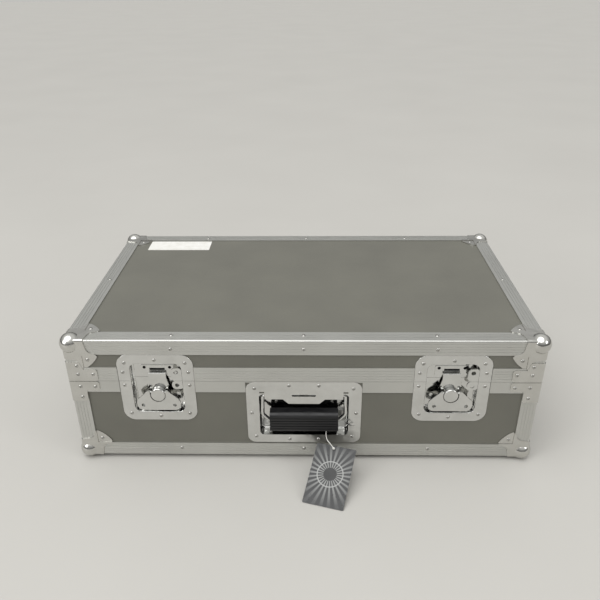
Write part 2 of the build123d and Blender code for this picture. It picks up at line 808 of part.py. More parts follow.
def latch_pan(x, upper):
    """One half of a latch's dish, cut along the seam."""
    with BuildPart() as pan:
        pressed_pan(x, (latch_flange_width, flange_height), latch_flange_radius, flange_z,
                    latch_pan_size, latch_pan_radius, latch_pan_z, latch_pan_depth)
        add(pan_cavity(x, latch_pan_size, latch_pan_radius, latch_pan_z, latch_pan_depth,
                       -barrel_head_reach), mode=Mode.SUBTRACT)
        lip = pan.faces().filter_by(Axis.Y).sort_by(Axis.Y)[0]
        fillet(lip.inner_wires()[0].edges(), radius=pan_lip_radius)
        lip = pan.faces().filter_by(Axis.Y).sort_by(Axis.Y)[0]
        fillet(lip.outer_wire().edges(), radius=flange_edge_radius)
        if upper:
            with BuildSketch(front_plane(latch_pan_depth + 2 * pan_wall, x, keeper_slot_z)) as slot:
                Rectangle(keeper_slot_width, keeper_slot_height)
            extrude(slot.sketch, amount=2 * pan_wall, mode=Mode.SUBTRACT)
            with BuildSketch(front_plane(latch_pan_depth + 2 * pan_wall, x, keeper_hole_z)) as holes:
                with GridLocations(keeper_hole_spacing, 0, 2, 1):
                    Circle(keeper_hole_radius)
            extrude(holes.sketch, amount=2 * pan_wall, mode=Mode.SUBTRACT)
            split(bisect_by=Plane.XY.offset(seam_z + half_gap), keep=Keep.TOP)
        else:
            with BuildSketch(front_plane(latch_pan_depth + 2 * pan_wall, x, latch_axis_z)) as bearing:
                Circle(neck_radius + running_clearance)
            extrude(bearing.sketch, amount=2 * pan_wall, mode=Mode.SUBTRACT)
            split(bisect_by=Plane.XY.offset(seam_z - half_gap), keep=Keep.BOTTOM)
    return pan


def latch_keeper(x):
    """Keeper: a plate on the pan's floor with a raised bar that the hook pulls down on."""
    plate_low = seam_z + keeper_rise - (keeper_bar_height / 2)
    plate_z = plate_low + keeper_plate_height / 2
    bar_z = seam_z + keeper_rise + keeper_bar_height / 2
    bar_back = keeper_bar_front + keeper_bar_thickness
    cheek_x = (keeper_width - keeper_bar_thickness) / 2
    with BuildPart() as keeper:
        with BuildSketch(front_plane(latch_pan_depth, x, plate_z)) as plate:
            RectangleRounded(keeper_plate_width, keeper_plate_height, keeper_bar_thickness)
            with Locations((0, keeper_slot_z - plate_z)):
                Rectangle(keeper_slot_width, keeper_slot_height, mode=Mode.SUBTRACT)
            with Locations((0, keeper_hole_z - plate_z)):
                with GridLocations(keeper_hole_spacing, 0, 2, 1):
                    Circle(keeper_hole_radius, mode=Mode.SUBTRACT)
        extrude(plate.sketch, amount=keeper_plate_thickness)
        with BuildSketch(front_plane(bar_back, x, bar_z)) as bar:
            Rectangle(keeper_width, keeper_bar_height)
        extrude(bar.sketch, amount=keeper_bar_thickness)
        fillet(keeper.faces().sort_by(Axis.Y)[0].edges().filter_by(Axis.X),
               radius=keeper_bar_thickness / 3)
        with BuildSketch(front_plane(latch_pan_depth, x, bar_z)) as cheeks:
            with GridLocations(2 * cheek_x, 0, 2, 1):
                Rectangle(keeper_bar_thickness, keeper_bar_height)
        extrude(cheeks.sketch, amount=latch_pan_depth - bar_back)
    return keeper


# ---------------------------------------------------------------- latch barrel, hook and wing

cam_z = latch_axis_z - cam_offset


def latch_barrel(x):
    """Barrel: a round head, an eccentric cam for the hook, and a shaft through the pan's floor."""
    pan_back = latch_pan_depth + pan_wall
    collar_back = latch_pan_depth - collar_gap
    rear_front = pan_back + rear_head_gap
    with BuildPart() as barrel:
        with BuildSketch(front_plane(barrel_head_back, x, latch_axis_z)) as head:
            Circle(barrel_head_radius)
        extrude(head.sketch, amount=barrel_head_back + barrel_head_reach)
        fillet(barrel.faces().sort_by(Axis.Y)[0].edges(), radius=barrel_edge_radius)
        with BuildSketch(front_plane(cam_back, x, cam_z)) as cam:
            Circle(cam_radius)
        extrude(cam.sketch, amount=cam_back - barrel_head_back)
        with BuildSketch(front_plane(collar_back, x, latch_axis_z)) as collar:
            Circle(collar_radius)
        extrude(collar.sketch, amount=collar_back - cam_back)
        with BuildSketch(front_plane(rear_front, x, latch_axis_z)) as neck:
            Circle(neck_radius)
        extrude(neck.sketch, amount=rear_front - collar_back)
        with BuildSketch(front_plane(rear_front + rear_head_thickness, x, latch_axis_z)) as rear:
            Circle(rear_head_radius)
        extrude(rear.sketch, amount=rear_head_thickness)
        with BuildSketch(Plane(origin=(x, -half_depth + wing_axis_depth, wing_axis_z),
                               x_dir=(0, 1, 0), z_dir=(1, 0, 0))) as bore:
            Circle(wing_pin_radius + running_clearance)
        extrude(bore.sketch, amount=2 * barrel_head_radius, both=True, mode=Mode.SUBTRACT)
    return barrel


def latch_hook(x):
    """Hook plate: its upper lip sits over the keeper's bar, and the cam lifts it by its yoke."""
    hook_back = hook_front + hook_thickness
    yoke_half_width = cam_radius + cam_offset + yoke_clearance
    yoke_half_height = cam_radius + yoke_clearance
    bottom_z = cam_z - yoke_half_height - yoke_wall
    top_z_hook = seam_z + hook_top_rise
    shoulder_z = seam_z - hook_shoulder_drop
    half_points = [
        (hook_top_width / 2, top_z_hook),
        (hook_top_width / 2, seam_z),
        (hook_shoulder_width / 2, shoulder_z),
        (hook_lower_width / 2, latch_axis_z),
        (hook_lower_width / 2, bottom_z),
    ]
    with BuildPart() as hook:
        with BuildSketch(front_plane(hook_back, x, 0)) as outline:
            with BuildLine():
                Polyline(*half_points, *[(-u, v) for u, v in reversed(half_points)], close=True)
            make_face()
            fillet(outline.vertices().group_by(Axis.Y)[0], radius=hook_corner_radius)
            with Locations((0, cam_z)):
                RectangleRounded(2 * yoke_half_width, 2 * yoke_half_height, cam_offset,
                                 mode=Mode.SUBTRACT)
        extrude(outline.sketch, amount=hook_thickness)
        with BuildSketch(front_plane(hook_back + hook_lip_reach, x,
                                     top_z_hook - hook_lip_height / 2)) as lip:
            Rectangle(hook_top_width, hook_lip_height)
        extrude(lip.sketch, amount=hook_lip_reach)
        front_top = hook.faces().sort_by(Axis.Y)[0].edges().filter_by(Axis.X).sort_by(Axis.Z)[-1]
        fillet(front_top, radius=hook_thickness / 2)
    return hook


def latch_wing(x):
    """Folding wing: a plate that straddles the barrel, with two cheeks and the fold pin."""
    notch = barrel_head_radius + wing_notch_clearance
    top = wing_top_rise
    bottom = -wing_bottom_drop
    axis_drop = -wing_axis_rise
    half_points = [(wing_ear_width / 2, top), (wing_width / 2, -wing_shoulder_drop),
                   (wing_width / 2, bottom)]
    with BuildPart() as wing:
        with BuildSketch(front_plane(wing_thickness - wing_front, x, wing_axis_z)) as plate:
            with BuildLine():
                Polyline(*half_points, *[(-u, v) for u, v in reversed(half_points)], close=True)
            make_face()
            lobes = [corner for corner in plate.vertices()
                     if abs(corner.X) > wing_ear_width / 2 + wing_notch_clearance]
            fillet(lobes, radius=wing_lobe_radius)
            with Locations((0, axis_drop)):
                Circle(notch, mode=Mode.SUBTRACT)
            with Locations((0, axis_drop + notch)):
                Rectangle(2 * notch, 2 * notch, mode=Mode.SUBTRACT)
            with Locations((0, -wing_hole_drop)):
                with GridLocations(wing_hole_spacing, 0, 2, 1):
                    Circle(wing_hole_radius, mode=Mode.SUBTRACT)
        extrude(plate.sketch, amount=wing_thickness)
        for side in (-1, 1):
            cheek_x = x + side * notch
            cheek_plane = Plane(origin=(cheek_x, -half_depth + wing_axis_depth, wing_axis_z),
                                x_dir=(0, side, 0), z_dir=(side, 0, 0))
            reach = side * (wing_axis_depth + wing_front)
            with BuildSketch(cheek_plane) as cheek:
                Circle(wing_cheek_radius)
                with Locations((-reach / 2, 0)):
                    Rectangle(abs(reach), 2 * wing_cheek_radius)
            extrude(cheek.sketch, amount=wing_cheek_thickness)
        with BuildSketch(Plane(origin=(x, -half_depth + wing_axis_depth, wing_axis_z),
                               x_dir=(0, 1, 0), z_dir=(1, 0, 0))) as pin:
            Circle(wing_pin_radius)
        extrude(pin.sketch, amount=notch + wing_cheek_thickness, both=True)
    return wing


def padlock_lug(x, near_z, far_z, hole_z):
    """A flat lug with a shackle hole, bent back along the pan's side wall.

    near_z is its end at the seam, far_z the other end, which stays clear of the pan's corner.
    """
    lug_right = latch_pan_width / 2
    left_x = x + lug_left
    right_x = x + lug_right
    away = 1 if far_z > near_z else -1
    low_z, high_z = sorted((near_z, far_z - away * lug_heel_radius))
    with BuildSketch(front_plane(lug_front + lug_thickness)) as plate:
        with BuildLine():
            Polyline((left_x, near_z), (right_x, near_z), (right_x, far_z), (left_x, far_z),
                     close=True)
        make_face()
        fillet(plate.vertices().group_by(Axis.X)[0], radius=lug_corner_radius)
        fillet(plate.vertices().sort_by_distance((right_x, far_z, 0))[0], radius=lug_heel_radius)
        with Locations((x + lug_hole_offset, hole_z)):
            Circle(lug_hole_radius, mode=Mode.SUBTRACT)
    extrude(plate.sketch, amount=lug_thickness)
    span_box((right_x - lug_thickness, -half_depth + lug_front, low_z),
             (right_x, -half_depth + lug_riser_back, high_z))


for name, x in (("left", -latch_x), ("right", latch_x)):
    save(latch_pan(x, upper=True), f"{name}_latch_dish_upper")
    save(latch_pan(x, upper=False), f"{name}_latch_dish_lower")
    save(latch_keeper(x), f"{name}_latch_keeper")
    save(latch_barrel(x), f"{name}_latch_barrel")
    save(latch_hook(x), f"{name}_latch_hook")
    save(latch_wing(x), f"{name}_latch_wing")

with BuildPart() as latch_lid_lugs:
    for x in (-latch_x, latch_x):
        padlock_lug(x, seam_z + half_gap, seam_z + lid_lug_rise, seam_z + lid_lug_hole_rise)
save(latch_lid_lugs, "latch_lid_padlock_lugs")

with BuildPart() as latch_base_lugs:
    for x in (-latch_x, latch_x):
        padlock_lug(x, seam_z - half_gap, seam_z - base_lug_drop, seam_z - base_lug_hole_drop)
save(latch_base_lugs, "latch_base_padlock_lugs")

# ---------------------------------------------------------------- recessed handle

handle_pan_size = (handle_pan_width, handle_pan_height)

with BuildPart() as handle_dish:
    pressed_pan(0, (handle_flange_width, handle_flange_height), handle_flange_radius,
                handle_flange_z, handle_pan_size, handle_pan_radius, handle_pan_z,
                handle_pan_depth)
    add(pan_cavity(0, handle_pan_size, handle_pan_radius, handle_pan_z, handle_pan_depth,
                   rail_wall), mode=Mode.SUBTRACT)
    with BuildSketch(front_plane(rail_wall, 0, handle_opening_top)) as opening:
        with Locations((0, -handle_pan_height / 2)):
            RectangleRounded(*handle_pan_size, handle_pan_radius)
        with BuildLine() as tab:
            Polyline(
                (-tab_half_width, handle_pan_radius), (-tab_half_width, -tab_drop),
                (-tab_slope_half_width, -tab_drop), (-tab_tongue_half_width, -tab_tongue_drop),
                (tab_tongue_half_width, -tab_tongue_drop), (tab_slope_half_width, -tab_drop),
                (tab_half_width, -tab_drop), (tab_half_width, handle_pan_radius), close=True,
            )
        make_face(mode=Mode.SUBTRACT)
    extrude(opening.sketch, amount=flange_thickness, mode=Mode.SUBTRACT)
    with BuildSketch(front_plane(rail_wall, 0, handle_opening_top)) as slots:
        with Locations((0, -tab_slot_height / 2 - tab_slot_drop)):
            SlotOverall(tab_slot_width, tab_slot_height)
        with Locations((-bail_half_width, side_slot_rise), (bail_half_width, side_slot_rise)):
            Rectangle(side_slot_width, side_slot_height)
    extrude(slots.sketch, amount=flange_thickness, mode=Mode.SUBTRACT)
save(handle_dish, "handle_dish")

# Bail: one closed loop of rod, in the plane through the pivot and the middle of the grip
bail_rise = bail_axis_z - grip_z
bail_run = bail_axis_depth - grip_center_depth
bail_length = (bail_rise ** 2 + bail_run ** 2) ** 0.5
bail_normal = (0, -bail_rise / bail_length, bail_run / bail_length)
bail_plane = Plane(origin=(0, -half_depth + bail_axis_depth, bail_axis_z), x_dir=(1, 0, 0),
                   z_dir=bail_normal)
bail_foot = bail_half_width - bail_crank

with BuildPart() as handle_bail:
    with BuildLine(bail_plane) as bail_path:
        FilletPolyline(
            (-bail_half_width, 0), (bail_half_width, 0),
            (bail_half_width, -bail_length + bail_crank), (bail_foot, -bail_length),
            (-bail_foot, -bail_length), (-bail_half_width, -bail_length + bail_crank),
            radius=bail_corner_radius, close=True,
        )
    with BuildSketch(Plane(origin=bail_path.line @ 0, z_dir=bail_path.line % 0)) as rod:
        Circle(bail_radius)
    sweep(rod.sketch, path=bail_path.line)
save(handle_bail, "handle_bail")

grip_bore = bail_radius + running_clearance
with BuildPart() as handle_grip:
    with BuildSketch(Plane(origin=(0, -half_depth + grip_center_depth, grip_z), x_dir=(0, 1, 0),
                           z_dir=(1, 0, 0))) as grip_section:
        RectangleRounded(grip_depth, grip_height, grip_corner_radius)
        with Locations((-grip_depth / 2, 0)):
            with GridLocations(0, grip_rib_pitch, 1, grip_rib_count):
                Rectangle(2 * grip_rib_groove, grip_rib_groove, mode=Mode.SUBTRACT)
        Circle(grip_bore, mode=Mode.SUBTRACT)
    extrude(amount=grip_length / 2, both=True)
save(handle_grip, "handle_grip")

# Bracket behind the tab: two bored lugs that hang from the top wall of the pan
spring_pitch = spring_pitch_share * spring_wire_radius
spring_length = spring_turns * spring_pitch
spring_radius = spring_inner_radius + spring_wire_radius
spring_leg_front = bail_axis_depth + spring_inner_radius
lug_outer = bracket_half_width
lug_inner = bracket_half_width - bracket_lug_thickness
bracket_low = bail_axis_z - bracket_lug_drop
with BuildPart() as handle_pivot_bracket:
    for side in (-1, 1):
        near, far = sorted((side * lug_inner, side * lug_outer))
        span_box((near, -half_depth + bracket_front, bracket_low),
                 (far, -half_depth + bracket_back, handle_opening_top))
    span_box((-lug_outer, -half_depth + bracket_front, handle_opening_top - bracket_strap),
             (lug_outer, -half_depth + bracket_back, handle_opening_top))
    span_box((-spring_length / 2 - spring_window, -half_depth, handle_opening_top - bracket_strap),
             (spring_length / 2 + spring_window, -half_depth + spring_leg_front + bracket_strap,
              handle_opening_top), mode=Mode.SUBTRACT)
    with BuildSketch(Plane(origin=(0, -half_depth + bail_axis_depth, bail_axis_z),
                           x_dir=(0, 1, 0), z_dir=(1, 0, 0))) as pivot_bore:
        Circle(bail_radius + running_clearance)
    extrude(pivot_bore.sketch, amount=2 * bracket_half_width, both=True, mode=Mode.SUBTRACT)
save(handle_pivot_bracket, "handle_pivot_bracket")

# Return spring, coiled round the pivot bar; its leg bears on the top wall of the pan
with BuildPart() as handle_spring:
    with BuildSketch(Plane(origin=(0, -half_depth + bail_axis_depth, bail_axis_z),
                           x_dir=(0, 1, 0), z_dir=(1, 0, 0))) as coil:
        Circle(spring_radius + spring_wire_radius)
        Circle(spring_inner_radius, mode=Mode.SUBTRACT)
    extrude(coil.sketch, amount=spring_length / 2, both=True)
    span_box((-spring_wire_radius, -half_depth + spring_leg_front, bail_axis_z),
             (spring_wire_radius, -half_depth + spring_leg_front + 2 * spring_wire_radius,
              handle_opening_top))
save(handle_spring, "handle_spring")

# ---------------------------------------------------------------- hinges on the back

hinge_axis_y = half_depth + hinge_axis_reach
knuckle_length = (hinge_width - (knuckle_count - 1) * knuckle_gap) / knuckle_count
knuckle_step = knuckle_length + knuckle_gap


def hinge_line(x):
    """Plane across the hinge axis, at the left end of the hinge."""
    return Plane(origin=(x - hinge_width / 2, hinge_axis_y, seam_z), x_dir=(0, 1, 0),
                 z_dir=(1, 0, 0))


def hinge_leaf(x, sign, closure_leg, own_knuckles, other_knuckles):
    """One leaf: over the seam rail, stepped down onto the panel; sign is +1 for the lid."""
    step = closure_leg + hinge_leaf_thickness
    near = seam_gap
    plate_low, plate_high = sorted((sign * near, sign * step))
    panel_low, panel_high = sorted((sign * (closure_leg + half_gap), sign * hinge_leaf_height))
    notch_radius = knuckle_radius + hinge_notch_clearance
    with BuildPart() as leaf:
        span_box((x - hinge_width / 2, half_depth, seam_z + plate_low),
                 (x + hinge_width / 2, half_depth + hinge_leaf_thickness, seam_z + plate_high))
        span_box((x - hinge_width / 2, half_depth - rail_wall, seam_z + panel_low),
                 (x + hinge_width / 2, half_depth - rail_wall + hinge_leaf_thickness,
                  seam_z + panel_high))
        far_edge = leaf.edges().filter_by(Axis.Y).group_by(Axis.Z)[-1 if sign > 0 else 0]
        fillet(far_edge, radius=hinge_corner_radius)
        for index in other_knuckles:
            with BuildSketch(hinge_line(x).offset(index * knuckle_step - knuckle_gap)) as notch:
                Circle(notch_radius)
            extrude(notch.sketch, amount=knuckle_length + 2 * knuckle_gap, mode=Mode.SUBTRACT)
        for index in own_knuckles:
            with BuildSketch(hinge_line(x).offset(index * knuckle_step)) as knuckle:
                Circle(knuckle_radius)
            extrude(knuckle.sketch, amount=knuckle_length)
        with BuildSketch(hinge_line(x)) as bore:
            Circle(hinge_pin_radius + running_clearance)
        extrude(bore.sketch, amount=hinge_width, mode=Mode.SUBTRACT)
    return leaf


base_knuckles = range(0, knuckle_count, 2)
lid_knuckles = range(1, knuckle_count, 2)
hinge_x = half_width - hinge_side_inset
hinge_places = (("left", -hinge_x), ("right", hinge_x))
for name, x in hinge_places:
    save(hinge_leaf(x, 1, lid_closure_leg, lid_knuckles, base_knuckles), f"{name}_hinge_lid_leaf")
    save(hinge_leaf(x, -1, base_closure_leg, base_knuckles, lid_knuckles), f"{name}_hinge_base_leaf")

with BuildPart() as hinge_pins:
    for _, x in hinge_places:
        with BuildSketch(hinge_line(x)) as pin:
            Circle(hinge_pin_radius)
        extrude(pin.sketch, amount=hinge_width)
save(hinge_pins, "hinge_pins")

# ---------------------------------------------------------------- foam lining

foam_x = side_edge - soft_clearance
foam_y = wall_edge - soft_clearance
lid_foam_high = lid_wall_high - soft_clearance
lid_foam_low = seam_z + foam_seam_margin
base_foam_high = seam_z - foam_seam_margin
floor_foam_low = base_wall_low + soft_clearance
latch_pocket_depth = latch_pan_depth + pan_wall + rear_head_gap + rear_head_thickness
handle_pocket_depth = handle_pan_depth + pan_wall


def foam_walls(low_z, high_z):
    """Four foam strips inside the panels: front and back full width, the sides between them."""
    side_y = foam_y - wall_foam - soft_clearance
    for side in (-1, 1):
        near, far = sorted((side * (foam_y - wall_foam), side * foam_y))
        span_box((-foam_x, near, low_z), (foam_x, far, high_z))
        near, far = sorted((side * (foam_x - wall_foam), side * foam_x))
        span_box((near, -side_y, low_z), (far, side_y, high_z))


def foam_pocket(x, half_width_x, low_z, high_z, depth):
    """Room in the front foam for the back of a pressed pan."""
    span_box((x - half_width_x, -half_depth, low_z),
             (x + half_width_x, -half_depth + depth + foam_pocket_clearance, high_z),
             mode=Mode.SUBTRACT)


pan_half = latch_pan_width / 2 + pan_wall + foam_pocket_clearance
pan_low = seam_z - latch_pan_drop - pan_wall - foam_pocket_clearance
pan_high = seam_z + latch_pan_rise + pan_wall + foam_pocket_clearance

with BuildPart() as lid_foam_walls:
    foam_walls(lid_foam_low, lid_foam_high - lid_foam - soft_clearance)
    for x in (-latch_x, latch_x):
        foam_pocket(x, pan_half, lid_foam_low - seam_gap, pan_high, latch_pocket_depth)
save(lid_foam_walls, "lid_foam_walls")

with BuildPart() as lid_foam_pad:
    span_box((-foam_x, -foam_y, lid_foam_high - lid_foam), (foam_x, foam_y, lid_foam_high))
save(lid_foam_pad, "lid_foam_pad")

with BuildPart() as base_foam_walls:
    foam_walls(floor_foam_low, base_foam_high)
    for x in (-latch_x, latch_x):
        foam_pocket(x, pan_half, pan_low, base_foam_high + seam_gap, latch_pocket_depth)
    foam_pocket(0, handle_pan_width / 2 + pan_wall + foam_pocket_clearance,
                handle_pan_z - handle_pan_height / 2 - pan_wall - foam_pocket_clearance,
                handle_opening_top + pan_wall + foam_pocket_clearance, handle_pocket_depth)
save(base_foam_walls, "base_foam_walls")

with BuildPart() as base_foam_pad:
    pad_x = foam_x - wall_foam - soft_clearance
    pad_y = foam_y - wall_foam - soft_clearance
    span_box((-pad_x, -pad_y, floor_foam_low), (pad_x, pad_y, floor_foam_low + floor_foam))
save(base_foam_pad, "base_foam_pad")

# ---------------------------------------------------------------- bare label plate

label_x = -half_width + label_left_inset + label_width / 2
label_y = half_depth - label_back_inset - label_height / 2
with BuildPart() as label_plate:
    with BuildSketch(top_plane(rail_wall, label_x, label_y)):
        RectangleRounded(label_width, label_height, label_corner_radius)
    extrude(amount=label_thickness)
save(label_plate, "label_plate")

# ---------------------------------------------------------------- tag and string

turn = radians(tag_turn)
lean = radians(tag_lean)
tag_right = Vector(cos(turn), sin(turn), 0)
tag_up = Vector(-sin(turn) * cos(lean), cos(turn) * cos(lean), sin(lean))
tag_face = tag_right.cross(tag_up)
tag_foot = Vector(tag_foot_x, -half_depth - tag_foot_reach, tag_foot_height)
tag_plane = Plane(origin=tag_foot, x_dir=tag_right, z_dir=tag_face)
tag_hole_y = tag_length - tag_hole_from_top

with BuildPart() as hang_tag:
    with BuildSketch(tag_plane):
        with Locations((0, tag_length / 2)):
            RectangleRounded(tag_width, tag_length, tag_corner_radius)
        with Locations((tag_hole_x, tag_hole_y)):
            Circle(tag_hole_radius, mode=Mode.SUBTRACT)
    extrude(amount=tag_thickness)
save(hang_tag, "hang_tag")

# The knot rests on the rim of the hole; the string runs from the grip's underside to the knot
rim_rise = ((knot_radius + soft_clearance) ** 2 - tag_hole_radius ** 2) ** 0.5
knot = tag_foot + tag_right * tag_hole_x + tag_up * tag_hole_y + tag_face * (tag_thickness + rim_rise)
grip_underside = grip_z - grip_height / 2
string_route = [Vector(x, -half_depth - out, grip_underside - drop) for x, out, drop in string_points]
string_route.append(knot)


def bend_radii(route):
    """A radius for each corner: a share of the shorter run, over the tangent of half the turn."""
    radii = []
    for before, corner, after in zip(route, route[1:], route[2:]):
        run_in = corner - before
        run_out = after - corner
        half_turn = radians(run_in.get_angle(run_out)) / 2
        radii.append(string_bend_share * min(run_in.length, run_out.length) / tan(half_turn))
    return radii


string_radii = bend_radii(string_route)
with BuildPart() as hang_tag_string:
    with BuildLine() as string_path:
        FilletPolyline(*string_route, radius=string_radii)
    string_wire = string_path.wire()
    with BuildSketch(Plane(origin=string_wire @ 0, z_dir=string_wire % 0)) as strand:
        Circle(string_radius)
    sweep(strand.sketch, path=string_wire)
    tube_volume = hang_tag_string.part.volume
    with Locations(knot):
        Sphere(knot_radius)
save(hang_tag_string, "hang_tag_string")
print("string bend radii, mm:", [round(radius, 1) for radius in string_radii])
print("string length, mm:", round(string_wire.length, 1))
print("tube volume over section times length:",
      round(tube_volume / (strand.sketch.area * string_wire.length), 3))

# ---------------------------------------------------------------- rivets

dome_rise = rivet_head_height - rivet_rim
dome_shoulder = (rivet_shoulder[0] * rivet_head_radius,
                 rivet_rim + rivet_shoulder[1] * dome_rise)
with BuildPart() as rivet_head:
    with BuildSketch(Plane.XZ) as profile:
        with BuildLine():
            Line((0, 0), (rivet_head_radius, 0))
            Line((rivet_head_radius, 0), (rivet_head_radius, rivet_rim))
            ThreePointArc((rivet_head_radius, rivet_rim), dome_shoulder,
                          (rivet_dimple_radius, rivet_head_height))
            Line((rivet_dimple_radius, rivet_head_height),
                 (rivet_dimple_radius, rivet_head_height - rivet_dimple_depth))
            Line((rivet_dimple_radius, rivet_head_height - rivet_dimple_depth),
                 (0, rivet_head_height - rivet_dimple_depth))
            Line((0, rivet_head_height - rivet_dimple_depth), (0, 0))
        make_face()
    revolve(axis=Axis.Z)


def rivets_at(planes):
    """A rivet head on each plane, seated on the plane and pointing along its normal."""
    with Locations(*[plane.location for plane in planes]):
        add(rivet_head.part)


rail_xs = (-rail_rivet_spacing, 0, rail_rivet_spacing)
brace_lift = -plate_thickness


def brace_spots(near, across, far):
    """Inset from the corner and height from the seam of the three rivets in a brace's face."""
    return ((brace_rivet_inset, near), (brace_reach - brace_rivet_margin, across),
            (brace_rivet_inset, far))


lid_brace_spots = brace_spots(*lid_brace_rivets)
base_brace_spots = brace_spots(*base_brace_rivets)


def corner_planes(spots, face_z, depth):
    """Rivet planes on the front, back and side faces at all four corners."""
    planes = []
    for inset, height in spots:
        for side in (-1, 1):
            planes.append(front_plane(depth, side * (half_width - inset), face_z + height))
            planes.append(back_plane(depth, side * (half_width - inset), face_z + height))
            planes.append(side_plane(side, depth, half_depth - inset, face_z + height))
            planes.append(side_plane(side, depth, -half_depth + inset, face_z + height))
    return planes


petal_spot = ((petal_rivet_inset, 0),)
petal_x = half_width - petal_rivet_inset
petal_y = half_depth - petal_rivet_inset
rail_line_y = half_depth - rail_rivet_inset
rail_line_x = half_width - rail_rivet_inset
hinge_rivet_xs = [x + side * hinge_rivet_spacing / 2 for _, x in hinge_places for side in (-1, 1)]
over_rail = -hinge_leaf_thickness
over_panel = rail_wall - hinge_leaf_thickness


def hinge_rivets(sign):
    planes = []
    for x in hinge_rivet_xs:
        planes.append(back_plane(over_rail, x, seam_z + sign * hinge_rivet_near))
        planes.append(back_plane(over_panel, x, seam_z + sign * hinge_rivet_far))
    return planes


def latch_rivets(spots):
    """Flange rivets round each latch: sideways offset from its centre and height from the seam."""
    return [front_plane(flange_front, x + offset, seam_z + height)
            for x in (-latch_x, latch_x) for offset, height in spots]


flange_margin = (latch_flange_width - latch_pan_width) / 4
upper_row = latch_flange_top - seam_z - flange_margin
lower_row = -latch_flange_drop + flange_margin - latch_low_rivet_shift
outer_upper_row = upper_row - latch_top_rivet_drop
outer_lower_row = lower_row + latch_low_rivet_rise
lid_side_row, base_side_row = latch_side_rivets
side_column = latch_flange_width / 2 - latch_side_margin
corner_column = latch_flange_width / 2 - latch_corner_margin

with BuildPart() as lid_rivets:
    rivets_at([front_plane(0, x, top_z - rail_rivet_inset) for x in rail_xs])
    rivets_at([back_plane(0, x, top_z - rail_rivet_inset) for x in rail_xs])
    rivets_at([top_plane(0, x, side * rail_line_y) for x in rail_xs for side in (-1, 1)])
    rivets_at([top_plane(0, side * rail_line_x, 0) for side in (-1, 1)])
    rivets_at([side_plane(side, 0, 0, top_z - rail_rivet_inset) for side in (-1, 1)])
    rivets_at([top_plane(0, side_x * petal_x, side_y * petal_y)
               for side_x in (-1, 1) for side_y in (-1, 1)])
    rivets_at(corner_planes(petal_spot, top_z - petal_rivet_inset, 0))
    rivets_at(corner_planes(lid_brace_spots, seam_z, brace_lift))
    rivets_at(latch_rivets(((-corner_column, outer_upper_row), (0, upper_row),
                            (corner_column, outer_upper_row), (-side_column, lid_side_row),
                            (side_column, lid_side_row))))
    rivets_at(hinge_rivets(1))
save(lid_rivets, "lid_rivets")

corner_side, corner_top, corner_low = handle_rivet_corner
mid_top, mid_low = handle_rivet_mid
flange_top_row = -handle_flange_drop
flange_low_row = flange_top_row - handle_flange_height
corner_x = handle_flange_width / 2 - corner_side
handle_spots = [(side * x, row) for side in (-1, 1) for x, row in (
    (corner_x, flange_top_row - corner_top), (handle_rivet_mid_x, flange_top_row - mid_top),
    (handle_flange_width / 2 - handle_rivet_side, (flange_top_row + flange_low_row) / 2),
    (corner_x, flange_low_row + corner_low), (handle_rivet_mid_x, flange_low_row + mid_low))]

with BuildPart() as base_rivets:
    rivets_at([front_plane(0, x, rail_underside + rail_rivet_inset) for x in rail_xs])
    rivets_at([back_plane(0, x, rail_underside + rail_rivet_inset) for x in rail_xs])
    rivets_at([bottom_plane(0, x, side * rail_line_y) for x in rail_xs for side in (-1, 1)])
    rivets_at([bottom_plane(0, side * rail_line_x, 0) for side in (-1, 1)])
    rivets_at([side_plane(side, 0, 0, rail_underside + rail_rivet_inset) for side in (-1, 1)])
    rivets_at([bottom_plane(0, side_x * petal_x, side_y * petal_y)
               for side_x in (-1, 1) for side_y in (-1, 1)])
    rivets_at(corner_planes(petal_spot, rail_underside + petal_rivet_inset, 0))
    rivets_at(corner_planes(base_brace_spots, seam_z, brace_lift))
    rivets_at(latch_rivets(((-side_column, base_side_row), (side_column, base_side_row),
                            (-corner_column, outer_lower_row), (corner_column, outer_lower_row),
                            (0, lower_row))))
    rivets_at([front_plane(flange_front, x, seam_z + height) for x, height in handle_spots])
    rivets_at([front_plane(handle_pan_depth, x, seam_z + height)
               for x, height in handle_floor_rivets])
    rivets_at(hinge_rivets(-1))
save(base_rivets, "base_rivets")
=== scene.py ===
# %% [markdown]
# # A guitar pedal case
# The object is a shallow flight case: laminated plywood panels held in aluminium edge rails,
# with pressed steel corners, two turn latches and a sprung handle. The solid parts come
# ready-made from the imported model, each at its true place and size in metres. What is left for
# this lesson is the look: finishes for the metal and laminate, the soft foam lining, the coiled
# spring, the card tag and its string.

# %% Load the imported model
from math import cos, pi, radians, sin

import bpy
from mathutils import Matrix, Vector


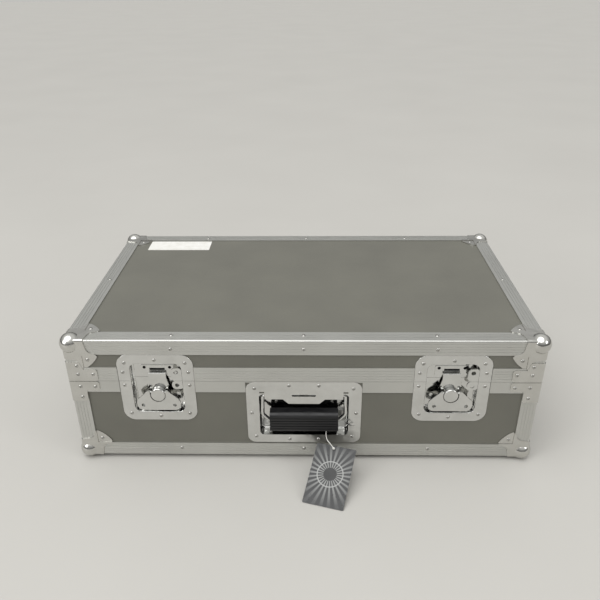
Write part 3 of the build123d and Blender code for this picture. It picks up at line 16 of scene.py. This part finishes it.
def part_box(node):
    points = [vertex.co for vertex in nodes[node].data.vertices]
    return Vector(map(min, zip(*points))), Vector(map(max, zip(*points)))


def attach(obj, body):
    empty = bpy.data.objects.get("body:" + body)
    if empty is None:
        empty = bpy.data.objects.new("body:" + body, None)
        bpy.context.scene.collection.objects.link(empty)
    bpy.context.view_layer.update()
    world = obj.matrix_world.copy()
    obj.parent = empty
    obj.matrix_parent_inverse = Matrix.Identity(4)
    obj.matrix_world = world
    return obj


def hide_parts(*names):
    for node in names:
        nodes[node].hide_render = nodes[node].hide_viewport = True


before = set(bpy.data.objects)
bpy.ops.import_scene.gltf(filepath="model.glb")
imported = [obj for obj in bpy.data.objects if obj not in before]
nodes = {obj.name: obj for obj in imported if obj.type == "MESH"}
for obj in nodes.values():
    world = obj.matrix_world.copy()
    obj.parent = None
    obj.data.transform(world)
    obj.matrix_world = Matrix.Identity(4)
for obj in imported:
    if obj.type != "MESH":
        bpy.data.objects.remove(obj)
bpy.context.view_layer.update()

# %% [markdown]
# ## The camera
# The photograph looks down at the case from in front. The lens, height and tilt below were
# fitted to the edges of the case in the picture. The picture is square, so the 36 mm sensor
# width counts for both directions.

# %% Place the camera
lens_mm = 38.05
sensor_mm = 36
eye = Vector((0.012756, -0.92003, 0.65217))
tilt_down = radians(27.704)
turn_left = radians(1.324)
roll = radians(-0.563)

bpy.ops.object.camera_add()
camera = bpy.context.object
camera.name = "photo_camera"
camera.data.lens = lens_mm
camera.data.sensor_width = sensor_mm
camera.matrix_world = (Matrix.Translation(eye) @ Matrix.Rotation(turn_left, 4, "Z")
                       @ Matrix.Rotation(pi / 2 - tilt_down, 4, "X")
                       @ Matrix.Rotation(roll, 4, "Z"))
bpy.context.scene.camera = camera
print("camera at", [round(v, 3) for v in eye], "lens", lens_mm, "mm")

# %% [markdown]
# ## Helpers for finishes
# Colours are picked as sRGB hex codes, but the renderer works with linear light, so one
# function converts them. A second one adds a shader node with its settings and its links. Every
# finish starts with the same pair: a surface shader and an output. A pattern's size is known in
# millimetres, and a texture's scale is how often it repeats in a metre. Noise seldom leaves the
# band from 0.3 to 0.7, so most finishes spread that band over their whole range.

# %% Colour and node helpers
mm = 0.001
noise_low = 0.3
noise_high = 0.7


def colour(code):
    """An sRGB hex code as the linear colour that a shader socket takes."""
    parts = [int(code[i:i + 2], 16) / 255 for i in (1, 3, 5)]
    return tuple(c / 12.92 if c <= 0.04045 else ((c + 0.055) / 1.055) ** 2.4 for c in parts) + (1,)


def repeats(size_mm):
    """The texture scale at which a pattern is about size_mm across."""
    return 1000 / size_mm


def add_node(tree, kind, inputs=(), **settings):
    """Adds a node, sets its properties, and fills its sockets with values or links."""
    made = tree.nodes.new(kind)
    for name, value in settings.items():
        setattr(made, name, value)
    for name, value in dict(inputs).items():
        if isinstance(value, bpy.types.NodeSocket):
            tree.links.new(value, made.inputs[name])
        else:
            made.inputs[name].default_value = value
    return made


def start_finish(name, **constants):
    """A new material with a surface shader; constants are the shader's own sockets."""
    material = bpy.data.materials.new(name)
    material.use_nodes = True
    tree = material.node_tree
    tree.nodes.clear()
    shader = add_node(tree, "ShaderNodeBsdfPrincipled",
                      {key.replace("_", " "): value for key, value in constants.items()})
    add_node(tree, "ShaderNodeOutputMaterial", {"Surface": shader.outputs[0]})
    place = add_node(tree, "ShaderNodeTexCoord").outputs["Object"]
    return material, tree, shader, place


def link(tree, output, shader, socket):
    """Feeds one of the shader's sockets."""
    tree.links.new(output, shader.inputs[socket])


print("helpers ready")

# %% [markdown]
# ## Laminate
# The panels are plywood faced with a phenolic laminate, hot-pressed against a textured plate.
# That leaves a fine pebble in a warm grey sheet. The pebble of such a sheet is about 0.4 mm,
# which is under a pixel here, so it is drawn at 1.3 mm. Wide, faint patches keep the large top
# from looking printed.

# %% Laminate finish
pebble_mm = 1.3
patch_mm = 90
laminate, tree, shader, place = start_finish("pressed_phenolic_laminate", Metallic=0.0, IOR=1.5)
patches = add_node(tree, "ShaderNodeTexNoise", {"Vector": place, "Scale": repeats(patch_mm),
                                                "Detail": 4.0}).outputs[0]
pebble = add_node(tree, "ShaderNodeTexNoise", {"Vector": place, "Scale": repeats(pebble_mm),
                                               "Detail": 2.0}).outputs[0]
tone = add_node(tree, "ShaderNodeMapRange", {"Value": patches, "From Min": noise_low,
                                             "From Max": noise_high}).outputs[0]
sheet = add_node(tree, "ShaderNodeMix", {0: tone, 6: colour("#65645c"), 7: colour("#6c6b62")},
                 data_type="RGBA").outputs[2]
gloss = add_node(tree, "ShaderNodeMapRange", {
    "Value": pebble, "From Min": noise_low, "From Max": noise_high,
    "To Min": 0.40, "To Max": 0.52}).outputs[0]
relief = add_node(tree, "ShaderNodeBump", {"Height": pebble, "Distance": 0.12 * mm,
                                           "Strength": 0.5}).outputs[0]
link(tree, sheet, shader, "Base Color")
link(tree, gloss, shader, "Roughness")
link(tree, relief, shader, "Normal")
print("made", laminate.name)

# %% [markdown]
# ## Anodised rails
# The rails are extruded aluminium, anodised to a satin silver. Extrusion leaves faint lines
# along the length of each bar, so the noise is drawn out 80 times along the run. Bars run along
# three directions, so the finish is made once for each.

# %% Aluminium finish
draw_out = 80
line_mm = 0.9
cloud_mm = 60


def drawn_aluminium(name, run_axis):
    """Satin anodised aluminium with extrusion lines along run_axis, 0 to 2 for X to Z."""
    material, tree, shader, place = start_finish(name, Metallic=1.0)
    scale = [1.0, 1.0, 1.0]
    scale[run_axis] = 1 / draw_out
    along = add_node(tree, "ShaderNodeMapping", {"Vector": place, "Scale": scale}).outputs[0]
    lines = add_node(tree, "ShaderNodeTexNoise", {"Vector": along, "Scale": repeats(line_mm),
                                                  "Detail": 3.0}).outputs[0]
    clouds = add_node(tree, "ShaderNodeTexNoise", {"Vector": place, "Scale": repeats(cloud_mm),
                                                   "Detail": 3.0}).outputs[0]
    silver = add_node(tree, "ShaderNodeMix", {0: clouds, 6: colour("#bfbfbb"),
                                              7: colour("#cfcfcb")}, data_type="RGBA").outputs[2]
    satin = add_node(tree, "ShaderNodeMapRange", {
        "Value": lines, "From Min": noise_low, "From Max": noise_high,
        "To Min": 0.34, "To Max": 0.48}).outputs[0]
    grooves = add_node(tree, "ShaderNodeBump", {"Height": lines, "Distance": 0.03 * mm,
                                                "Strength": 0.5}).outputs[0]
    link(tree, silver, shader, "Base Color")
    link(tree, satin, shader, "Roughness")
    link(tree, grooves, shader, "Normal")
    return material


aluminium = [drawn_aluminium(f"anodised_aluminium_{axis}", index)
             for index, axis in enumerate(("along_x", "along_y", "upright"))]
print("made", [material.name for material in aluminium])

# %% [markdown]
# ## Bright plated steel
# Corners, braces, dishes and latches are pressed steel and the handle's rod is bent steel, all
# with a bright nickel or chrome plate. Pressing stretches the sheet, so its mirror is never
# quite flat: a slow ripple bends the reflections. Fingers and dust dull it in patches. The
# rivets take the same patterns a little duller, and the handle's spring, which isn't plated,
# takes them in a darker tone.

# %% Plated steel finish
smudge_mm = 22
ripple_wide_mm = 14
plate_grain_mm = 1.1
grain_share = 0.04


def plated_steel(name, light, dark, shine, dull, ripple_mm):
    """Bare or plated steel between two roughness values, over a rippled sheet."""
    material, tree, shader, place = start_finish(name, Metallic=1.0)
    smudges = add_node(tree, "ShaderNodeTexNoise", {"Vector": place, "Scale": repeats(smudge_mm),
                                                    "Detail": 5.0, "Roughness": 0.6}).outputs[0]
    ripple = add_node(tree, "ShaderNodeTexNoise", {
        "Vector": place, "Scale": repeats(ripple_wide_mm), "Detail": 1.0}).outputs[0]
    grain = add_node(tree, "ShaderNodeTexNoise", {"Vector": place, "Scale": repeats(plate_grain_mm),
                                                  "Detail": 2.0}).outputs[0]
    plate = add_node(tree, "ShaderNodeMix", {0: smudges, 6: colour(dark), 7: colour(light)},
                     data_type="RGBA").outputs[2]
    polish = add_node(tree, "ShaderNodeMapRange", {
        "Value": smudges, "From Min": 0.42, "From Max": 0.72,
        "To Min": shine, "To Max": dull}).outputs[0]
    waves = add_node(tree, "ShaderNodeMath", {0: grain, 1: grain_share, 2: ripple},
                     operation="MULTIPLY_ADD").outputs[0]
    dents = add_node(tree, "ShaderNodeBump", {"Height": waves, "Distance": ripple_mm * mm,
                                              "Strength": 0.6}).outputs[0]
    link(tree, plate, shader, "Base Color")
    link(tree, polish, shader, "Roughness")
    link(tree, dents, shader, "Normal")
    return material


chrome = plated_steel("bright_chrome_plate", "#dededc", "#c2c2bf", 0.05, 0.16, 1.6)
corner_plate = plated_steel("bright_nickel_plate", "#d4d3cf", "#bab9b4", 0.10, 0.26, 1.0)
rivet_plate = plated_steel("plated_rivet_steel", "#bebdb9", "#a3a29e", 0.16, 0.34, 0.3)
spring_steel = plated_steel("oiled_spring_steel", "#8d8c88", "#6b6a67", 0.22, 0.42, 0.2)
print("made", [m.name for m in (chrome, corner_plate, rivet_plate, spring_steel)])

# %% [markdown]
# ## Moulded rubber
# The grip is a black rubber moulding with ribs along it. The mould's spark-eroded surface
# leaves a fine matt grain, drawn at 0.7 mm, and handling polishes parts of it.

# %% Rubber finish
rubber_grain_mm = 0.7
handled_mm = 18
rubber, tree, shader, place = start_finish("moulded_black_rubber", Metallic=0.0, IOR=1.5)
grain = add_node(tree, "ShaderNodeTexNoise", {"Vector": place, "Scale": repeats(rubber_grain_mm),
                                              "Detail": 2.0}).outputs[0]
handled = add_node(tree, "ShaderNodeTexNoise", {"Vector": place, "Scale": repeats(handled_mm),
                                                "Detail": 3.0}).outputs[0]
black = add_node(tree, "ShaderNodeMix", {0: handled, 6: colour("#0e0e0f"), 7: colour("#1b1b1d")},
                 data_type="RGBA").outputs[2]
worn = add_node(tree, "ShaderNodeMapRange", {"Value": handled, "From Min": 0.35, "From Max": 0.65,
                                             "To Min": 0.34, "To Max": 0.56}).outputs[0]
matt = add_node(tree, "ShaderNodeBump", {"Height": grain, "Distance": 0.08 * mm,
                                         "Strength": 0.5}).outputs[0]
link(tree, black, shader, "Base Color")
link(tree, worn, shader, "Roughness")
link(tree, matt, shader, "Normal")
print("made", rubber.name)

# %% [markdown]
# ## Foam
# The lining is open-cell polyurethane foam. Its cut faces show small torn cells about a
# millimetre wide, drawn at 2.4 mm so that they show, and it is nearly black with no shine.

# %% Foam finish
cell_mm = 2.4
dust_mm = 70
foam, tree, shader, place = start_finish("open_cell_polyurethane_foam", Metallic=0.0,
                                         Roughness=0.95, Sheen_Weight=0.25)
cells = add_node(tree, "ShaderNodeTexVoronoi", {"Vector": place,
                                                "Scale": repeats(cell_mm)}).outputs[0]
dust = add_node(tree, "ShaderNodeTexNoise", {"Vector": place, "Scale": repeats(dust_mm),
                                             "Detail": 4.0}).outputs[0]
charcoal = add_node(tree, "ShaderNodeMix", {0: dust, 6: colour("#222326"), 7: colour("#303134")},
                    data_type="RGBA").outputs[2]
pores = add_node(tree, "ShaderNodeBump", {"Height": cells, "Distance": 0.6 * mm,
                                          "Strength": 0.7}).outputs[0]
link(tree, charcoal, shader, "Base Color")
link(tree, pores, shader, "Normal")
print("made", foam.name)

# %% [markdown]
# ## Label sheet
# The plate on the lid is a white vinyl sheet. Its colour is even with slight soiling, so the
# noise is weak.

# %% Label finish
soil_mm = 12
vinyl, tree, shader, place = start_finish("satin_white_vinyl", Metallic=0.0, IOR=1.46)
soil = add_node(tree, "ShaderNodeTexNoise", {"Vector": place, "Scale": repeats(soil_mm),
                                             "Detail": 5.0, "Roughness": 0.65}).outputs[0]
soiled = add_node(tree, "ShaderNodeMapRange", {"Value": soil, "From Min": 0.35,
                                               "From Max": 0.75}).outputs[0]
white = add_node(tree, "ShaderNodeMix", {0: soiled, 6: colour("#ecebe7"), 7: colour("#dad8d1")},
                 data_type="RGBA").outputs[2]
satin = add_node(tree, "ShaderNodeMapRange", {
    "Value": soil, "From Min": noise_low, "From Max": noise_high,
    "To Min": 0.28, "To Max": 0.46}).outputs[0]
link(tree, white, shader, "Base Color")
link(tree, satin, shader, "Roughness")
print("made", vinyl.name)

# %% [markdown]
# ## Printed card
# The tag is a coated card, printed with a plain burst of grey rays round a ring. The rays are
# worked out from the angle round the card's middle, so the pattern needs the card's own
# coordinates: a Mapping node brings the middle of the card to zero and turns it upright.

# %% Place of the card
tag_turn = radians(-15.9)
tag_lean = radians(27.5)
tag_foot = Vector((0.0258, -0.2848, 0.0003))
burst_height = 0.046
tag_right = Vector((cos(tag_turn), sin(tag_turn), 0))
tag_up = Vector((-sin(tag_turn) * cos(tag_lean), cos(tag_turn) * cos(tag_lean), sin(tag_lean)))
tag_face = tag_right.cross(tag_up)
tag_frame = Matrix((tag_right, tag_up, tag_face)).transposed()
burst_middle = tag_foot + tag_up * burst_height
print("burst at", [round(1000 * v, 1) for v in burst_middle], "mm")

# %% Card finish
ray_count = 26
ring_band = (0.0175, 0.0190)
# The hub's band starts below zero, so it is filled to the middle.
hub_band = (-0.0010, 0.0095)
ring_edge = 0.0003
fade_start = 0.012
fade_end = 0.045
rubbed_mm = 9
card, tree, shader, place = start_finish("printed_coated_card", Metallic=0.0, IOR=1.5)
on_card = add_node(tree, "ShaderNodeMapping", {
    "Vector": place, "Location": burst_middle, "Rotation": tag_frame.to_euler("XYZ"),
}, vector_type="TEXTURE").outputs[0]
axes = add_node(tree, "ShaderNodeSeparateXYZ", {0: on_card})
angle = add_node(tree, "ShaderNodeMath", {0: axes.outputs[1], 1: axes.outputs[0]},
                 operation="ARCTAN2").outputs[0]
flat = add_node(tree, "ShaderNodeCombineXYZ", {0: axes.outputs[0], 1: axes.outputs[1]}).outputs[0]
radius = add_node(tree, "ShaderNodeVectorMath", {0: flat}, operation="LENGTH").outputs["Value"]
waves = add_node(tree, "ShaderNodeMath", {0: angle, 1: float(ray_count)},
                 operation="MULTIPLY").outputs[0]
rays = add_node(tree, "ShaderNodeMath", {0: waves}, operation="SINE").outputs[0]
ray_light = add_node(tree, "ShaderNodeMapRange", {"Value": rays, "From Min": -0.3,
                                                  "From Max": 0.7}).outputs[0]
fade = add_node(tree, "ShaderNodeMapRange", {"Value": radius, "From Min": fade_start,
                                             "From Max": fade_end, "To Min": 1.0,
                                             "To Max": 0.12}).outputs[0]
lit = add_node(tree, "ShaderNodeMath", {0: ray_light, 1: fade}, operation="MULTIPLY").outputs[0]


def ring(inner, outer):
    """1 between two radii round the middle of the card, and 0 elsewhere."""
    inside = add_node(tree, "ShaderNodeMapRange", {
        "Value": radius, "From Min": inner - ring_edge, "From Max": inner + ring_edge}).outputs[0]
    outside = add_node(tree, "ShaderNodeMapRange", {
        "Value": radius, "From Min": outer - ring_edge, "From Max": outer + ring_edge,
        "To Min": 1.0, "To Max": 0.0}).outputs[0]
    return add_node(tree, "ShaderNodeMath", {0: inside, 1: outside},
                    operation="MULTIPLY").outputs[0]


burst = add_node(tree, "ShaderNodeMix", {0: lit, 6: colour("#242526"), 7: colour("#8d8e8c")},
                 data_type="RGBA").outputs[2]
ringed = add_node(tree, "ShaderNodeMix", {0: ring(*ring_band), 6: burst,
                                          7: colour("#9a9b99")}, data_type="RGBA").outputs[2]
hub = add_node(tree, "ShaderNodeMix", {0: ring(*hub_band), 6: ringed,
                                       7: colour("#1c1d1e")}, data_type="RGBA").outputs[2]
rubbed = add_node(tree, "ShaderNodeTexNoise", {"Vector": place, "Scale": repeats(rubbed_mm),
                                               "Detail": 3.0}).outputs[0]
coating = add_node(tree, "ShaderNodeMapRange", {
    "Value": rubbed, "From Min": noise_low, "From Max": noise_high,
    "To Min": 0.26, "To Max": 0.38}).outputs[0]
link(tree, hub, shader, "Base Color")
link(tree, coating, shader, "Roughness")
print("made", card.name, "with", ray_count, "rays")

# %% [markdown]
# ## Spun thread
# The tag hangs on a thin white thread, spun from fibres. Fine slanting bands across it stand for
# the
# twist: they bump the surface, and painted shade darkens the thread's white in the grooves between
# them. At the scale below they are about 1.1 mm apart, near the thread's own thickness, so that
# they show.

# %% Thread finish
twist_scale = 320.0
thread, tree, shader, place = start_finish("spun_white_thread", Metallic=0.0, Roughness=0.85,
                                           Sheen_Weight=0.3)
twist = add_node(tree, "ShaderNodeTexWave", {
    "Vector": place, "Scale": twist_scale, "Distortion": 1.5,
}, bands_direction="DIAGONAL").outputs[0]
# The darker colour is painted shade in the grooves of the twist, where the bump dips; the paler one
# is the thread's own white.
white_thread_with_painted_groove_shade = add_node(tree, "ShaderNodeMix", {0: twist, 6: colour("#c9c8c2"), 7: colour("#f1f0ea")},
                 data_type="RGBA").outputs[2]
strands = add_node(tree, "ShaderNodeBump", {"Height": twist, "Distance": 0.12 * mm,
                                            "Strength": 0.6}).outputs[0]
link(tree, white_thread_with_painted_groove_shade, shader, "Base Color")
link(tree, strands, shader, "Normal")
print("made", thread.name)

# %% [markdown]
# ## Dressing the solid parts
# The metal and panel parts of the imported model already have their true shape, so they keep it
# and only take a finish. Words in each part's name say what it is made of. The first word in
# the list that the name holds decides, and a part with none of them is chromed.

# %% Give each solid part its finish
finish_by_word = (
    ("rivets", rivet_plate), ("panel", laminate), ("rails_long", aluminium[0]),
    ("rail_front", aluminium[0]), ("rail_back", aluminium[0]), ("rails_short", aluminium[1]),
    ("rails_side", aluminium[1]), ("corner_rails", aluminium[2]), ("ball", corner_plate),
    ("brace", corner_plate), ("hinge", corner_plate), ("grip", rubber), ("foam", foam),
    ("label", vinyl), ("hang_tag", card), ("spring", spring_steel), ("", chrome),
)


def dress(piece, finish):
    """Puts one finish on every face of a piece."""
    if not piece.material_slots:
        piece.data.materials.append(finish)
    for piece_slot in piece.material_slots:
        piece_slot.material = finish


for name, node in nodes.items():
    dress(node, next(finish for word, finish in finish_by_word if word in name))
print("dressed", len(nodes), "parts")

# %% [markdown]
# ## The thread on the tag
# A thread is a curve with a thickness. A NURBS spline of order 3 takes a few route points and
# draws one smooth line between them, the way a limp thread lies.

# %% Lay the thread
thread_route = [
    (0.0320, -0.1940, 0.0562), (0.0316, -0.1950, 0.0490), (0.0336, -0.2002, 0.0442),
    (0.0378, -0.2066, 0.0438),
]
hole_across = -0.0033
hole_height = 0.0835
card_thickness = 0.0008
knot_rise = 0.00201
thread_radius = 0.0006
hole = tag_foot + tag_right * hole_across + tag_up * hole_height
knot_middle = hole + tag_face * (card_thickness + knot_rise)
thread_route.append(tuple(knot_middle))

thread_curve = bpy.data.curves.new("tag_thread", "CURVE")
thread_curve.dimensions = "3D"
thread_curve.bevel_depth = thread_radius
thread_curve.bevel_resolution = 3
thread_curve.use_fill_caps = True
spline = thread_curve.splines.new("NURBS")
spline.points.add(len(thread_route) - 1)
for point, spot in zip(spline.points, thread_route):
    point.co = (*spot, 1)
spline.order_u = 3
spline.use_endpoint_u = True
tag_thread = bpy.data.objects.new("tag_thread", thread_curve)
bpy.context.scene.collection.objects.link(tag_thread)
dress(tag_thread, thread)
print("thread points:", len(thread_route))

# %% [markdown]
# ## The knot
# The thread ends in a small knot over the hole of the tag. A tied curve would need many turns
# that nobody sees. Three rings, tilted round one middle, read as a knot at this size.

# %% Tie the knot
ring_tilts = (0.5, 1.9, 3.0)
side_lean = 0.6
ring_radius = 0.0012
ring_thickness = 0.00075
bpy.ops.object.select_all(action="DESELECT")
knot_parts = []
for tilt in ring_tilts:
    bpy.ops.mesh.primitive_torus_add(location=knot_middle,
                                     rotation=(tilt, side_lean * tilt, tilt),
                                     major_radius=ring_radius, minor_radius=ring_thickness,
                                     major_segments=20, minor_segments=10)
    knot_parts.append(bpy.context.object)
for part in knot_parts:
    part.select_set(True)
bpy.ops.object.join()
tag_knot = bpy.context.object
tag_knot.name = "tag_knot"
bpy.ops.object.transform_apply(location=True, rotation=True, scale=True)
bpy.ops.object.shade_smooth()
dress(tag_knot, thread)

for piece in (tag_thread, tag_knot):
    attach(piece, "tag")
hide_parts("hang_tag_string")
print("knot has", len(tag_knot.data.polygons), "faces")

# %% [markdown]
# ## Foam lining
# Sheet foam is cut with a blade, and its edges draw in where it is glued, so a plain block with
# sharp edges looks wrong. Each block takes its size from the solid that stands for it: a copy of
# that solid's mesh is merged, flat faces are made whole, and a soft 3 mm bevel rounds the edges.

# %% Shape the foam
foam_edge = 0.003
merge_reach = 0.00001
flat_angle = radians(1)
smooth_angle = radians(35)


def soften_foam(name, body):
    """A rounded foam piece from a copy of the solid with the same place."""
    bpy.ops.object.select_all(action="DESELECT")
    piece = bpy.data.objects.new(f"soft_{name}", nodes[name].data.copy())
    bpy.context.scene.collection.objects.link(piece)
    bpy.context.view_layer.objects.active = piece
    piece.select_set(True)
    bpy.ops.object.mode_set(mode="EDIT")
    bpy.ops.mesh.select_all(action="SELECT")
    bpy.ops.mesh.remove_doubles(threshold=merge_reach)
    bpy.ops.mesh.dissolve_limited(angle_limit=flat_angle)
    bpy.ops.object.mode_set(mode="OBJECT")
    rounding = piece.modifiers.new("soft_edge", "BEVEL")
    rounding.width = foam_edge
    rounding.segments = 4
    rounding.limit_method = "ANGLE"
    bpy.ops.object.modifier_apply(modifier=rounding.name)
    bpy.ops.object.shade_smooth_by_angle(angle=smooth_angle)
    dress(piece, foam)
    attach(piece, body)
    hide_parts(name)
    return piece


for name, body in (("base_foam_pad", "base"), ("base_foam_walls", "base"),
                   ("lid_foam_pad", "lid"), ("lid_foam_walls", "lid")):
    piece = soften_foam(name, body)
    print(piece.name, len(piece.data.polygons), "faces")

# %% [markdown]
# ## The handle's spring
# Behind the tab of the handle dish a torsion spring closes the handle. In the solid model it is
# a plain sleeve with one leg. Here the sleeve is wound: a small circle of wire, swept round the
# pivot by a Screw modifier. The leg lies behind the tab and isn't made again.

# %% Wind the spring
spring_low, spring_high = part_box("handle_spring")
wire_radius = 0.00045
coil_radius = 0.0035
coil_middle = Vector((0, -0.183, 0.1125))
coil_length = spring_high.x - spring_low.x
turns = 14
steps_per_turn = 18
bpy.ops.object.select_all(action="DESELECT")
bpy.ops.mesh.primitive_circle_add(vertices=10, radius=wire_radius, fill_type="NOTHING",
                                  location=(spring_low.x + wire_radius, coil_middle.y,
                                            coil_middle.z - coil_radius),
                                  rotation=(pi / 2, 0, 0))
coil = bpy.context.object
coil.name = "wound_spring"
bpy.ops.object.transform_apply(location=False, rotation=True, scale=True)
pivot = bpy.data.objects.new("spring_pivot", None)
bpy.context.scene.collection.objects.link(pivot)
pivot.location = (spring_low.x + wire_radius, coil_middle.y, coil_middle.z)
winding = coil.modifiers.new("winding", "SCREW")
winding.axis = "X"
winding.object = pivot
winding.angle = 2 * pi * turns
winding.screw_offset = coil_length - 2 * wire_radius
winding.steps = winding.render_steps = steps_per_turn * turns
bpy.context.view_layer.update()
bpy.ops.object.modifier_apply(modifier=winding.name)
bpy.data.objects.remove(pivot)
bpy.ops.object.transform_apply(location=True, rotation=True, scale=True)
bpy.ops.object.mode_set(mode="EDIT")
bpy.ops.mesh.select_all(action="SELECT")
bpy.ops.mesh.remove_doubles(threshold=merge_reach)
bpy.ops.mesh.normals_make_consistent(inside=False)
bpy.ops.object.mode_set(mode="OBJECT")
bpy.ops.object.shade_smooth()
dress(coil, spring_steel)
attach(coil, "base")
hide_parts("handle_spring")
print("spring box in mm:", [[round(1000 * c, 2) for c in corner]
                            for corner in (coil.bound_box[0], coil.bound_box[6])])

# %% [markdown]
# ## Floor, lights and surroundings
# The floor is plain and pale. A wide, distant overhead light keeps the floor even and lights the
# top more than the front, as in the photograph. Two soft boxes give the bright metal something
# to reflect.

# %% Lay the floor
floor_width = 30
worn_mm = 400
bpy.ops.object.select_all(action="DESELECT")
bpy.ops.mesh.primitive_plane_add(size=floor_width, location=(0, 0, 0))
floor = bpy.context.object
floor.name = "pale_floor"
floor_finish, tree, shader, place = start_finish("pale_matt_floor", Roughness=0.6)
worn = add_node(tree, "ShaderNodeTexNoise", {"Vector": place, "Scale": repeats(worn_mm),
                                             "Detail": 4.0}).outputs[0]
pale = add_node(tree, "ShaderNodeMix", {0: worn, 6: colour("#b7b5b0"), 7: colour("#bfbdb8")},
                data_type="RGBA").outputs[2]
link(tree, pale, shader, "Base Color")
dress(floor, floor_finish)
print("floor at z = 0")

# %% Hang the lamps
bpy.ops.object.light_add(type="SUN", rotation=(radians(16), radians(-14), 0))
ceiling = bpy.context.object
ceiling.name = "ceiling_light"
ceiling.data.energy = 1.55
ceiling.data.angle = radians(60)
# Each lamp: name, place in metres, width in metres, power in watts.
lamps = (
    ("left_softbox", (-1.9, -1.6, 1.2), 1.1, 16),
    ("right_softbox", (2.1, -1.3, 1.5), 0.9, 10),
)
for name, spot, size, power in lamps:
    bpy.ops.object.light_add(type="AREA", location=spot)
    lamp = bpy.context.object
    lamp.name = name
    lamp.data.size = size
    lamp.data.energy = power
    lamp.rotation_euler = (Vector((0, 0, 0.1)) - Vector(spot)).to_track_quat("-Z", "Y").to_euler()
    print(name, power, "W")

# %% [markdown]
# ## Surroundings
# Bright metal shows the room round it. Its reflections see a room that is dark below and bright
# above, which gives the plate its contrast. The camera sees one pale tone behind the case. The
# Standard view keeps the finishes' colours as they were picked.

# %% Set the surroundings
room_dark_below = -0.05
room_bright_above = 0.75
world = bpy.data.worlds.new("studio")
bpy.context.scene.world = world
world.use_nodes = True
tree = world.node_tree
tree.nodes.clear()
direction = add_node(tree, "ShaderNodeSeparateXYZ",
                     {0: add_node(tree, "ShaderNodeTexCoord").outputs["Generated"]})
height = add_node(tree, "ShaderNodeMapRange", {"Value": direction.outputs[2],
                                               "From Min": room_dark_below,
                                               "From Max": room_bright_above}).outputs[0]
room = add_node(tree, "ShaderNodeMix", {0: height, 6: colour("#343434"), 7: colour("#f2f2f0")},
                data_type="RGBA").outputs[2]
seen = add_node(tree, "ShaderNodeMix", {
    0: add_node(tree, "ShaderNodeLightPath").outputs["Is Camera Ray"],
    6: room, 7: colour("#cbcac7"),
}, data_type="RGBA").outputs[2]
sky = add_node(tree, "ShaderNodeBackground", {"Color": seen, "Strength": 0.9})
add_node(tree, "ShaderNodeOutputWorld", {"Surface": sky.outputs[0]})
bpy.context.scene.view_settings.view_transform = "Standard"
print("world", world.name)
